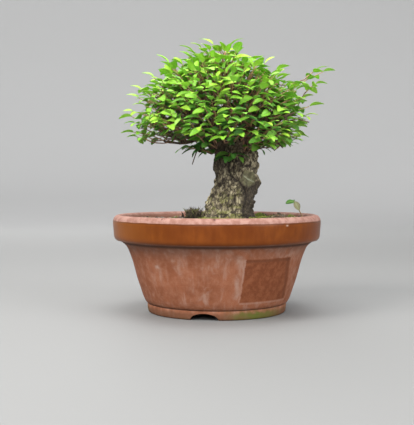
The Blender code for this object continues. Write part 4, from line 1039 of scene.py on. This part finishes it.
def grow_frame(placed):
    """Every limb, the path of every main shoot's twig, and the spots on the wood where more may grow."""
    limbs, spots = bough_limbs()
    for body in [stem_body(*stem) for stem in STEMS] + [curve_tube(*limb) for limb in limbs]:
        placed.add(*body, "wood")
    tips, paths = shoot_tips(), {}
    for index in sorted(range(len(tips)), key=lambda i: (tips[i][0] - SHOOT_HEART).length - tips[i][1]):
        tip, length = tips[index]
        rng = random.Random(SHOOT_SEED + index)
        for attempt in range(TWIG_TRIES):
            path, heading = shoot_path(tip, length - 0.4 * MM * attempt, SWAY + SWAY_MORE * attempt, rng)
            limb, new_spots = limb_to(path[0] - heading * GAP, heading, spots)
            line, radii, sides = limb
            twig = curve_tube(path, [TWIG_RADIUS + CLEARANCE] * len(path), 4)
            wide_limb = curve_tube(line, [radius + CLEARANCE for radius in radii], sides)
            if not placed.hits(*twig) and not placed.hits(*wide_limb, "wood"):
                break
        else:
            continue
        limbs.append(limb)
        placed.add(*curve_tube(*limb), "wood")
        spots += new_spots
        paths[index] = path
        twig_radii = [TWIG_RADIUS - (TWIG_RADIUS - TWIG_END) * i / (len(path) - 1) for i in range(len(path))]
        placed.add(*curve_tube(path, twig_radii, 4), index)
    return limbs, dict(sorted(paths.items())), spots


placed = Placed()
limbs, paths, spots = grow_frame(placed)

BARK_TURNS, BARK_STEP, BARK_GRAIN = 150, 1.4, 0.72 * MM
BOUGH_DETAIL, BOUGH_SIDES, TWIG_DETAIL, TWIG_SIDES = 1.5 * MM, 16, 1.3 * MM, 9
PLATE_SIZE = Vector((3.4, 3.4, 6.6)) * MM
SCAR_CENTRE, SCAR_SIZE = Vector((27.4, 0, 115.2)) * MM, (7.0 * MM, 7.4 * MM)
FURROW = [(10.8, 134), (10.4, 124), (10.8, 118), (15.0, 115), (19.0, 112.5), (23.0, 107.5), (25.2, 103),
          (25.0, 97), (22.6, 90), (22.2, 82)]


def finer(rows, step):
    """Sections about a step apart, on smooth curves through the given ones."""
    rows = np.array(rows, dtype=float)
    ends = np.vstack([2 * rows[0] - rows[1], rows, 2 * rows[-1] - rows[-2]])
    made = [rows[0]]
    for a, b, c, d in zip(ends, ends[1:], ends[2:], ends[3:]):
        count = max(1, round((c[0] - b[0]) / step))
        made += [curve_point(a, b, c, d, t) for t in (np.arange(count) + 1) / count]
    return made


def finer_limb(line, radii, step):
    """A limb's line and radii with points about a step apart."""
    path, thick = [line[0]], [radii[0]]
    ends = [2 * line[0] - line[1]] + list(line) + [2 * line[-1] - line[-2]]
    for i, (a, b, c, d) in enumerate(zip(ends, ends[1:], ends[2:], ends[3:])):
        count = max(1, round((c - b).length / step))
        for k in range(1, count + 1):
            t = k / count
            path.append(curve_point(a, b, c, d, t))
            thick.append(radii[i] + (radii[i + 1] - radii[i]) * t)
    return path, thick


def smoothstep(value, start, end):
    t = min(1.0, max(0.0, (value - start) / (end - start)))
    return t * t * (3 - 2 * t)


def distance_to_line(x, z, line):
    """How far a spot of the front is from a line of (x, z)."""
    best = 1.0
    for (x0, z0), (x1, z1) in zip(line, line[1:]):
        run, rise = x1 - x0, z1 - z0
        t = min(1.0, max(0.0, ((x - x0) * run + (z - z0) * rise) / (run * run + rise * rise)))
        best = min(best, math.hypot(x - x0 - run * t, z - z0 - rise * t))
    return best


def add_bodies(shape, bodies):
    """Sets bodies of points and faces into a bmesh."""
    for points, faces in bodies:
        verts = [shape.verts.new(point) for point in points]
        for face in faces:
            shape.faces.new([verts[i] for i in face])


bodies = [stem_body(finer(rows, BARK_STEP), BARK_TURNS, seed) for rows, _, seed in STEMS]
for line, radii, _ in limbs[:len(BOUGHS)]:
    path, thick = finer_limb(line, radii, BOUGH_DETAIL)
    thick = [radius * (1 + 0.16 * noise.noise(point / (5 * MM)) + 0.25 * max(0, 1 - i * 1.5 / 7))
             for i, (radius, point) in enumerate(zip(thick, path))]
    bodies.append(tube_points(path, thick, BOUGH_SIDES))
blank = bmesh.new()
add_bodies(blank, bodies)
bmesh.ops.recalc_face_normals(blank, faces=blank.faces)
rough_mesh = bpy.data.meshes.new("bark_wood")
blank.to_mesh(rough_mesh)
blank.free()

bark = Finish("bark", roughness=0.92)
wood = placed_object("bark_wood", rough_mesh, bark)
skin = wood.modifiers.new("Skin", "REMESH")
skin.mode, skin.voxel_size = "VOXEL", BARK_GRAIN
settle(wood)


def bark_at(point, normal):
    """How far the bark stands out at a point, and the values that are painted there."""
    x, y, z = point
    warp = Vector((noise.noise(point / (4 * MM)), noise.noise(point / (4 * MM) + Vector((5, 0, 0))),
                   noise.noise(point / (6 * MM) + Vector((0, 9, 0)))))
    spot = Vector((x / PLATE_SIZE.x, y / PLATE_SIZE.y, z / PLATE_SIZE.z)) + warp * 0.55
    near, cells = noise.voronoi(spot)
    edge = near[1] - near[0]
    fine, _ = noise.voronoi(spot * 2.3 + Vector((3.1, 0, 0)))
    fine_edge = fine[1] - fine[0]
    trunk = smoothstep(z, 152 * MM, 138 * MM)
    rough = 0.16 + 0.84 * trunk
    front = smoothstep(normal.y, 0.2, -0.3)
    right_foot = smoothstep(x - 2 * MM * warp.x, 20 * MM, 24 * MM) * smoothstep(z, 112 * MM, 104 * MM)
    across = math.hypot((x - SCAR_CENTRE.x) / SCAR_SIZE[0], (z - SCAR_CENTRE.z) / SCAR_SIZE[1])
    across += 0.15 * warp.y
    scar = smoothstep(across + 0.30 * warp.x, 1.15, 0.60) * smoothstep(-y, 4 * MM, 9 * MM)
    lip = smoothstep(abs(across - 1.12), 0.24, 0.0) * smoothstep(-y, 4 * MM, 9 * MM)
    lip = lip * smoothstep(warp.x, -0.35, 0.30)
    furrow = smoothstep(distance_to_line(x / MM + warp.x * 1.2, z / MM, FURROW), 1.9, 0.3) * front * trunk
    fissure = smoothstep(edge, 0.22, 0.04)
    chips = smoothstep(fine_edge, 0.20, 0.03)
    height = (0.55 + 0.25 * right_foot) * (smoothstep(edge, 0.0, 0.5) - 0.6)
    height = height + 0.24 * smoothstep(fine_edge, 0.0, 0.4)
    fine_relief = 0.22 * noise.noise(point / (1.1 * MM))
    height += 0.55 * noise.noise(point / (3.1 * MM) + Vector((0, 0, 7))) + fine_relief
    height += 0.5 * right_foot * noise.noise(point / (5 * MM))
    knobs = max(0.0, noise.noise(point / (4.2 * MM) + Vector((11, 0, 0))) - 0.15) * 2.0
    height += knobs * (1 - scar) * trunk
    height = height * (1 - 0.75 * scar) + 0.45 * lip - 1.9 * furrow - 0.20 * scar
    line = smoothstep(abs((x - 27 * MM) * 0.55 + (z - 115 * MM) * 0.84), 0.55 * MM, 0.1 * MM) * scar
    shade = (cells[0].x * 7.13 + cells[0].y * 3.7 + cells[0].z * 5.1) % 1.0
    values = (max(fissure * (1 - scar) * rough, furrow), chips * (1 - scar), scar, line, shade, trunk)
    return height * rough * MM, values


mesh = wood.data
normals = [vert.normal.copy() for vert in mesh.vertices]
values = []
for vert, normal in zip(mesh.vertices, normals):
    height, found = bark_at(vert.co, normal)
    values.append(found)
    vert.co += normal * height
mesh.update()
for name, column in zip(("fissure", "chips", "scar", "seam", "shade", "trunk"), zip(*values)):
    paint(mesh, name, column)
mesh.shade_smooth()

# The branchlets and bare twigs, each let into the wood that carries it
bodies = []
for number, (line, radii, _) in enumerate(limbs[len(BOUGHS):]):
    path, thick = finer_limb(line, radii, TWIG_DETAIL)
    thick = [radius * (0.92 + 0.20 * noise.noise(point / (2.2 * MM) + Vector((number, 0, 0))))
             for radius, point in zip(thick, path)]
    for k in range(1, 3):
        thick[k - 1] *= 1.35 / k ** 0.5
    points, faces = tube_points(path, thick, TWIG_SIDES)
    bodies.append((points, sorted(faces, key=len, reverse=True)))
twigs = bmesh.new()
twigs.from_mesh(mesh)
add_bodies(twigs, bodies)
bmesh.ops.recalc_face_normals(twigs, faces=[face for face in twigs.faces if face.index < 0])
twigs.to_mesh(mesh)
twigs.free()
mesh.shade_smooth()

crackle = bark.cloud(1.4 * MM, 5.0, 0.65, stretch=(1.0, 1.0, 0.45))
patchy = bark.cloud(9 * MM, 3.0)
flecks = bark.cloud(0.7 * MM, 3.0)
flakes = bark.cells(2.3 * MM, stretch=(1.0, 1.0, 0.38))
flake_tones = bark.cells(2.3 * MM, stretch=(1.0, 1.0, 0.38), out=1)
raised = bark.step(flake_tones, 0.58, 0.80) * bark.step(flakes, 0.55, 0.30)
low_lichen = bark.step(bark.z, 112 * MM, 92 * MM) * bark.step(bark.cloud(5 * MM, 4.0, warp=0.6), 0.46, 0.62)
# Painted shadow: the lower right side of the trunk, away from the light, and its upper left part under the crown
# get a dark crackled tone
shadowed_side = bark.step(bark.x + (patchy - 0.5) * (8 * MM), 19 * MM, 24 * MM)
shadowed_side = shadowed_side * bark.step(bark.z, 116 * MM, 108 * MM) * 0.93
high_shadow = bark.step(bark.z, 110 * MM, 126 * MM) * bark.step(bark.x, 15 * MM, 9 * MM) * 0.60
dark = bark.mix(bark.step(crackle, 0.45, 0.65), (0.030, 0.022, 0.015), (0.150, 0.110, 0.070))
scar_tone = bark.coats(
    bark.mix(bark.step(bark.cloud(2.5 * MM, 4.0), 0.35, 0.65), (0.055, 0.052, 0.022), (0.125, 0.118, 0.052)),
    (bark.painted("seam"), (0.300, 0.320, 0.220)))
young = bark.step(bark.cloud(2.0 * MM, 3.0), 0.35, 0.65)
young = bark.mix(young, (0.045, 0.028, 0.018), (0.130, 0.085, 0.055))
bark_tone = bark.coats(
    bark.mix(bark.painted("shade"), (0.270, 0.215, 0.115), (0.540, 0.455, 0.280)),
    (bark.step(crackle, 0.42, 0.66), (0.680, 0.590, 0.390)),
    (bark.step(crackle, 0.44, 0.28) * 0.8, (0.080, 0.058, 0.032)),
    (raised * 0.85, (0.900, 0.790, 0.510)),
    (bark.step(flakes, 0.46, 0.62) * 0.75, (0.055, 0.040, 0.022)),
    (low_lichen * 0.55, (0.400, 0.420, 0.080)),
    (bark.step(flecks, 0.62, 0.74) * 0.7, (0.700, 0.660, 0.500)),
    # the painted shadow over the bark's own tones
    (shadowed_side.figure("MAXIMUM", high_shadow), dark),
    (bark.painted("fissure").figure("MAXIMUM", bark.painted("chips") * 0.35), (0.020, 0.014, 0.009)),
    (bark.painted("scar") * 0.85, scar_tone))
bark_tone = bark.mix(bark.painted("trunk"), young, bark_tone)
bark.feed(base_color=bark_tone, roughness=0.95 - bark.painted("scar") * 0.2,
          normal=bark.bump(crackle + flecks * 0.5 - flakes * 0.7, 0.6 * MM))
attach(wood, "root")
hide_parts("tree_wood")


# Shoots
# The year's growth at the ends of the branchlets: a thin reddish zigzag twig with small oval toothed leaves in
# two ranks. Main shoots make the crown's outline, and shorter ones fill the dome between them and its inside.

LEAF_ASPECT, LEAF_THICK, LEAF_SPACING, RIB_HALF_WIDTH, MIDRIB = 0.28, 0.68 * MM, 6.3 * MM, 0.5 * MM, 0.46
LEAF_LEAN, LEAF_SQUARE, LEAF_ARCH, RIB_CLEAR = 0.85, 0.5, 0.30, 0.35 * MM
LEAF_DROOP, LEAF_FOLD, LEAF_SPREAD = (0.42, 0.72), (0.10, 0.32), (48, 68)
LEAF_SIDE, LEAF_TRIES = [(0.30, 1.0), (0.41, 0.80), (0.63, 0.84), (0.70, 0.56)], 12
FILL_SEED, FILL_SPACING, FILL_TRIES, FILL_CLEARANCE = 23, 2.9 * MM, 6, 0.05 * MM
FILL_LEAF, FILL_LENGTH, FILL_TWIG, FILL_LIMB = 12.6 * MM, 25 * MM, 0.5 * MM, 0.62
BLADE_START, BLADE_ROWS, BLADE_TEETH, VEIN_SLANT = 0.10, 15, 7, 1.3
BLADE_THICK, BLADE_WIDTHS, LOOKS_SEED = 0.24 * MM, (0.78, 0.97), 500
STALK_RADII, BUD_RADII = [0.34 * MM, 0.26 * MM, 0.20 * MM], [0.22 * MM, 0.36 * MM, 0.05 * MM]


def leaf_rim(length, droop, fold, half_width, swell=0.0):
    """The points round one leaf, in its own frame, and a point on its midrib."""
    side = [(share * length, wide * half_width + swell) for share, wide in LEAF_SIDE]
    flat = [(x, -y) for x, y in side] + [(length + swell, 0)] + side[::-1] + [(MIDRIB * length, 0)]
    return [Vector((x, y, LEAF_ARCH * x - droop * x * x / length + fold * abs(y))) for x, y in flat]


def blade_space(length, droop, fold, clearance):
    """Points and triangles of the space that a leaf needs."""
    rim = leaf_rim(length, droop, fold, length * LEAF_ASPECT, clearance)
    rim = [Vector((0, -RIB_HALF_WIDTH, 0))] + rim[:-1] + [Vector((0, RIB_HALF_WIDTH, 0)), rim[-1]]
    lift, count, faces = Vector((0, 0, LEAF_THICK / 2 + clearance)), len(rim) - 1, []
    for i in range(count):
        j = (i + 1) % count
        faces += [(i, j, count), (count + 1 + j, count + 1 + i, 2 * count + 1)]
        faces += [(i, count + 1 + i, j), (j, count + 1 + i, count + 1 + j)]
    return [point + lift for point in rim] + [point - lift for point in rim], faces


def along_path(path, at):
    """The point and direction at a distance along a path."""
    for a, b in zip(path, path[1:]):
        step = (b - a).length
        if at <= step or b is path[-1]:
            return a.lerp(b, at / step), (b - a).normalized()
        at -= step


def path_length(path):
    return sum((b - a).length for a, b in zip(path, path[1:]))


def leaf_places(path, rng, spacing=LEAF_SPACING):
    """Distance along the shoot, side and size of each leaf: in two ranks by turns, and one at the end."""
    whole = path_length(path)
    count = max(3, int(whole / spacing))
    places = []
    for i in range(count):
        size = 0.68 + 0.42 * math.sin(math.pi * (i + 0.9) / (count + 1.2))
        places.append((whole * (0.10 + 0.82 * i / count), 1 if i % 2 else -1, size * rng.uniform(0.90, 1.10)))
    return places + [(whole, 0, 0.84 * rng.uniform(0.90, 1.10))]


def flat_outward(path):
    out = path[-1] - SHOOT_HEART
    out.z = 0.0
    return out.normalized() * min(1.0, (path[-1] - SHOOT_HEART).xy.length / (40 * MM))


def shoot_sides(path):
    """The direction that a shoot's leaves turn their upper sides to, and the one across, to its two ranks."""
    along = (path[-1] - path[0]).normalized()
    above = (Vector((0, 0, 1)) + LEAF_LEAN * flat_outward(path)).normalized()
    square = (above - along * above.dot(along)).normalized()
    return (above + LEAF_SQUARE * square).normalized(), square.cross(along)


def grow_leaf(path, place, placed, owner, rng, tries=LEAF_TRIES, clearance=CLEARANCE, full=LEAF_LENGTH,
              nearest=TWIG_RADIUS + RIB_CLEAR):
    """A leaf's frame, length, droop and fold, turned or tilted until it stands clear of all that is there."""
    at, side, size = place
    root, tangent = along_path(path, at)
    above, across = shoot_sides(path)
    droop, fold = rng.uniform(*LEAF_DROOP), rng.uniform(*LEAF_FOLD)
    for attempt in range(tries):
        spread = math.radians(rng.uniform(*LEAF_SPREAD)) * side
        along = tangent * math.cos(spread) + across * math.sin(spread)
        along += above * (rng.uniform(-0.15, 0.22) + (attempt % 3 - 1) * 0.10 * attempt)
        roll = rng.uniform(-0.35, 0.35) + 0.12 * attempt * (-1) ** attempt
        matrix = frame_towards(root, along, above, roll)
        length = full * size * (1 - 0.035 * attempt)
        space, faces = blade_space(length, droop, fold, clearance)
        space = [matrix @ point for point in space]
        rim = [matrix @ point for point in leaf_rim(length, droop, fold, length * LEAF_ASPECT)]
        off_rib = side == 0 or min((point - root).dot(across) * side for point in rim) > nearest
        if off_rib and not placed.hits(space, faces, owner):
            placed.add(space, faces, None)
            return at, side, matrix, length, droop, fold
    return None


def grow_leaves(paths, placed):
    """The leaves of the main shoots, the outermost of each first."""
    draws = {index: random.Random(SHOOT_SEED * 100 + index) for index in paths}
    places = {index: leaf_places(path, draws[index]) for index, path in paths.items()}
    leaves = {index: [] for index in paths}
    for outermost in (True, False):
        for index, path in paths.items():
            for place in (places[index][-1:] if outermost else places[index][:-1]):
                leaf = grow_leaf(path, place, placed, index, draws[index])
                if leaf:
                    leaves[index].append(leaf)
    return leaves


leaves = grow_leaves(paths, placed)


def grow_fill(tips, placed, spots, rng):
    """Shorter shoots with their branchlets, wherever the given tips find room."""
    grown = []
    for tip, length in tips:
        for _ in range(FILL_TRIES):
            path, heading = shoot_path(tip, length * rng.uniform(0.85, 1.1), SWAY * 2.5, rng)
            line, radii, _ = limb_to(path[0], heading, spots)[0]
            twig = curve_tube(path, [FILL_TWIG] * len(path), 4)
            if not placed.hits(*twig):
                break
        else:
            continue
        placed.add(*twig, len(placed.items))
        owner, found = len(placed.items) - 1, []
        for place in reversed(leaf_places(path, rng, FILL_SPACING)):
            leaf = grow_leaf(path, place, placed, owner, rng, FILL_TRIES, FILL_CLEARANCE, FILL_LEAF,
                             -FILL_LEAF)
            if leaf:
                found.append(leaf)
        grown.append((path, found, (line, [radius * FILL_LIMB for radius in radii])))
    return grown


def side_tips(paths, count, length, rng):
    """Tips of short side shoots round the tip of each main shoot."""
    tips = []
    for path in paths.values():
        out = flat_outward(path)
        across = Vector((-out.y, out.x, 0)).normalized()
        for i in range(count):
            aside = across * rng.uniform(5, 12) * (-1) ** i - out * rng.uniform(-1, 9)
            aside = aside + Vector((0, 0, rng.uniform(-6, 6)))
            tips.append((path[-1] + aside * MM + out * 0.6 * LEAF_LENGTH, length))
    return tips


def fill_tips(count, spacing, share, others, rng):
    """Tips evenly over a smaller dome, away from the others and above the crown's open underside."""
    tips = []
    for i in range(count):
        tip = CROWN_CENTRE + (dome_tip(i, count) - CROWN_CENTRE) * (share + rng.uniform(-0.04, 0.03))
        lowest = UNDERSIDE + UNDERSIDE_LEFT * smoothstep(tip.x, -8 * MM, -42 * MM)
        if tip.z > lowest and all((tip - other).length > spacing for other in others):
            others.append(tip)
            tips.append((tip, FILL_LENGTH))
    return tips


# Height of the crown's underside and how much higher it is on the left, and the lengths of the extra shoots
UNDERSIDE, UNDERSIDE_LEFT, EXTRA_LENGTH, SIDE_LENGTH = 142 * MM, 19 * MM, 24 * MM, 22 * MM
EXTRA_TIPS = [(-82, -6, 165), (-80, 6, 161), (-84, 0, 176), (-72, 3, 188), (-76, -8, 196), (-60, 6, 206),
              (-22, -8, 234), (-17, 8, 229), (-6, -10, 236), (8, 6, 237), (12, -8, 232), (-33, 4, 228),
              (74, -8, 178), (82, 6, 176), (88, -4, 172), (78, 10, 184), (86, 8, 190), (50, -6, 221),
              (66, 4, 208)]
rng = random.Random(FILL_SEED)
tips = [path[-1] for path in paths.values()]
wanted = [(Vector(tip) * MM, EXTRA_LENGTH) for tip in EXTRA_TIPS] + side_tips(paths, 2, SIDE_LENGTH, rng)
wanted += fill_tips(420, 9.5 * MM, 0.94, tips, rng)
fills = {"dome_shoots": grow_fill(wanted, placed, spots, rng)}
fills["inner_shoots"] = grow_fill(fill_tips(150, 13 * MM, 0.68, [], rng), placed, spots, rng)


def blade_pattern(across):
    """A leaf of length 1 and half width 1 on a grid: along, across, ridge, u, v and the quads of both faces."""
    rows, columns = BLADE_ROWS, len(across)
    u, v = np.meshgrid(np.linspace(0, 1, rows), np.array(across), indexing="ij")
    tooth = np.arange(rows)[:, None] % 2 * 2.0 - 1.0
    inside = np.minimum(1.0, np.minimum(np.arange(rows), np.arange(rows)[::-1]) / 2.0)[:, None]
    wide = np.sin(math.pi * u ** 0.85) ** 0.58 * (1 + 0.130 * tooth * inside * np.abs(v) ** 2)
    along = BLADE_START + (1 - BLADE_START) * u + 0.032 * tooth * inside * np.abs(v) ** 2
    ridge = np.cos(math.tau * (u * BLADE_TEETH - VEIN_SLANT * np.abs(v)))
    ridge = ridge * np.abs(v) * (1.25 - np.abs(v)) * inside
    return along.ravel(), (v * wide).ravel(), ridge.ravel(), u.ravel(), v.ravel(), thin_faces(rows, columns)


FULL_BLADE = blade_pattern((-1.0, -0.62, -0.24, 0.0, 0.24, 0.62, 1.0))
PLAIN_BLADE = blade_pattern((-1.0, -0.5, 0.0, 0.5, 1.0))


def fine_blade(pattern, length, droop, fold, matrix, rng):
    """Points of a thin toothed leaf, which is pleated along its veins and a little bent to one side."""
    along, across, ridge, _, v, _ = pattern
    x, y = along * length, across * length * LEAF_ASPECT * rng.uniform(*BLADE_WIDTHS)
    z = LEAF_ARCH * x - droop * x * x / length + fold * np.abs(y) * (1.15 - 0.3 * along)
    z = z + ridge * 0.034 * length + 0.02 * length * np.sin(5 * along + rng.uniform(0, 6)) * across
    y = y + rng.uniform(-0.08, 0.08) * x * along
    flat = np.stack([x, y, z], -1)
    thick = np.array((0, 0, BLADE_THICK / 2)) * (1.15 - 0.6 * np.abs(v))[:, None]
    both = np.concatenate([flat + thick, flat - thick])
    turn = np.array(matrix.to_3x3())
    return both @ turn.T + np.array(matrix.translation)


def tint_at(point):
    """How bright the leaves are at a place: dark in the shade inside, yellow-green at the crown's top."""
    out = Vector(a / b for a, b in zip(point - CROWN_CENTRE, CROWN_RADII))
    return 0.10 + 0.66 * smoothstep(out.length, 0.50, 0.92) + 0.20 * smoothstep(out.z, -0.10, 0.70)


class Growth:
    """Points, faces and painted values of leafy shoots, gathered for one piece."""

    def __init__(self):
        self.points, self.quads, self.count = [], [], 0
        self.columns = {key: [] for key in ("u", "v", "under", "tint", "hue", "stalk", "age")}

    def add(self, points, quads, **values):
        self.points.append(points)
        self.quads.append(np.asarray(quads) + self.count)
        self.count += len(points)
        for key, found in self.columns.items():
            found.append(np.broadcast_to(values.get(key, 0.0), len(points)))

    def tube(self, line, radii, sides, age):
        points, faces = tube_points(line, radii, sides)
        quads = [face if len(face) == 4 else (*face, face[2]) for face in faces]
        self.add(np.array([point[:] for point in points]), quads, stalk=1.0, age=age)

    def shoot(self, path, leaves, rng, pattern=FULL_BLADE):
        whole = path_length(path)
        steps, sides = (16, 7) if pattern is FULL_BLADE else (8, 5)
        line = [along_path(path, whole * i / steps)[0] for i in range(steps + 1)]
        across = shoot_sides(path)[1]
        for i in range(1, steps):
            zigzag = abs((whole * i / steps / (LEAF_SPACING * 2)) % 1.0 - 0.5) * 4 - 1
            line[i] = line[i] + across * 0.22 * MM * zigzag
        self.tube(line, [MM * (0.58 - 0.30 * i / steps) for i in range(steps + 1)], sides, 0.0)
        shade = rng.uniform(-0.10, 0.10)
        u, v, quads = pattern[3:]
        for at, _, matrix, length, droop, fold in leaves:
            both = fine_blade(pattern, length, droop, fold, matrix, rng)
            tint = tint_at(matrix.translation) + shade + rng.uniform(-0.13, 0.13) + 0.16 * (at / whole - 0.5)
            self.add(both, quads, u=np.tile(u, 2), v=np.tile(v, 2), tint=min(1.0, max(0.0, tint)),
                     hue=rng.random(), under=np.repeat((0.0, 1.0), len(u)))
            stalk = [matrix @ Vector((share * length, 0, LEAF_ARCH * share * length - 0.1 * MM * i))
                     for i, share in enumerate((0.0, 0.06, BLADE_START + 0.03))]
            self.tube(stalk, STALK_RADII, 5, 0.1)
            if pattern is FULL_BLADE:
                bud = matrix.translation + (matrix.to_3x3() @ Vector((0.5, 0, 0.8))) * MM
                line = [matrix.translation, matrix.translation.lerp(bud, 0.55), bud]
                self.tube(line, BUD_RADII, 5, 0.4)

    def piece(self, name, finish):
        points, quads = np.concatenate(self.points), np.concatenate(self.quads)
        faces = [tuple(dict.fromkeys(int(i) for i in quad)) for quad in quads]
        mesh = sheet_mesh(name, points, faces)
        for key, found in self.columns.items():
            paint(mesh, key, np.concatenate(found))
        return placed_object(name, mesh, finish)


leaf = Finish("leaf_green", roughness=0.42)
tint, u, v = leaf.painted("tint"), leaf.painted("u"), leaf.painted("v")
reach = v.figure("ABSOLUTE")
vein = leaf.near((u * float(BLADE_TEETH) - reach * VEIN_SLANT).figure("FRACT"), 0.5, 0.22)
vein = vein * leaf.step(reach, 0.98, 0.70)
rib = leaf.near(reach, 0.0, 0.13)
mottled = leaf.cloud(2.6 * MM, 4.0)
green = leaf.node("ShaderNodeValToRGB", {"stops": [
    (0.0, (0.030, 0.130, 0.032)), (0.24, (0.105, 0.350, 0.050)), (0.46, (0.235, 0.580, 0.045)),
    (0.72, (0.350, 0.720, 0.040)), (1.0, (0.540, 0.840, 0.060))]}, {0: tint + (mottled - 0.5) * 0.24 + 0.05})
hue, under = leaf.painted("hue"), leaf.painted("under")
twig = leaf.coats(
    leaf.mix(leaf.painted("age"), (0.330, 0.200, 0.090), (0.150, 0.075, 0.045)),
    (leaf.step(mottled, 0.45, 0.65) * 0.5, (0.420, 0.230, 0.120)))
green = leaf.coats(
    green,
    (leaf.step(hue, 0.60, 0.95) * 0.45, leaf.mix(tint, (0.090, 0.240, 0.030), (0.620, 0.780, 0.050))),
    (leaf.step(hue, 0.35, 0.05) * 0.45, leaf.mix(tint, (0.030, 0.160, 0.055), (0.270, 0.650, 0.200))),
    (vein * 0.50, leaf.mix(tint, (0.060, 0.200, 0.060), (0.420, 0.680, 0.140))),
    (rib * 0.65, leaf.mix(tint, (0.110, 0.240, 0.080), (0.520, 0.700, 0.200))),
    (leaf.step(reach, 0.90, 1.0) * 0.25, (0.300, 0.330, 0.060)),
    (under * 0.55, leaf.mix(tint, (0.075, 0.150, 0.065), (0.270, 0.420, 0.130))),
    (leaf.painted("stalk"), twig))
leaf.feed(base_color=green, roughness=0.40 + mottled * 0.16 + under * 0.15,
          normal=leaf.bump(vein * -0.6 - rib + leaf.cloud(0.45 * MM) * 0.5, 0.10 * MM))
glow = leaf.node("ShaderNodeBsdfTranslucent", {}, {"Color": leaf.mix(0.5, green, (0.520, 0.880, 0.050))})
through = leaf.node("ShaderNodeMixShader", {}, {
    0: 0.36 * (1.0 - leaf.painted("stalk")), 1: Tone(leaf, leaf.shader.outputs[0]), 2: glow})
leaf.tree.links.new(through.socket, leaf.tree.nodes["Material Output"].inputs["Surface"])

for index, path in paths.items():
    growth, rng = Growth(), random.Random(LOOKS_SEED + index)
    growth.shoot(path, leaves[index], rng)
    shoot = growth.piece(f"leafy_shoot_{index + 1:02d}", leaf)
    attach(shoot, "root")
    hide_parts(f"shoot_{index + 1:02d}")
for name, grown in fills.items():
    quarters = {}
    for shoot in grown:
        x, y = (shoot[0][-1] - CROWN_CENTRE).xy
        quarters.setdefault(("right" if x > 0 else "left", "back" if y > 0 else "front"), []).append(shoot)
    for quarter, shoots in quarters.items():
        growth, rng = Growth(), random.Random(len(shoots))
        for path, found, (line, radii) in shoots:
            growth.shoot(path, found, rng, PLAIN_BLADE)
            fine, thick = finer_limb(line, radii, 3.0 * MM)
            growth.tube(fine, thick, 5, 1.0)
        piece = growth.piece("_".join((name, *quarter)), leaf)
        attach(piece, "root")
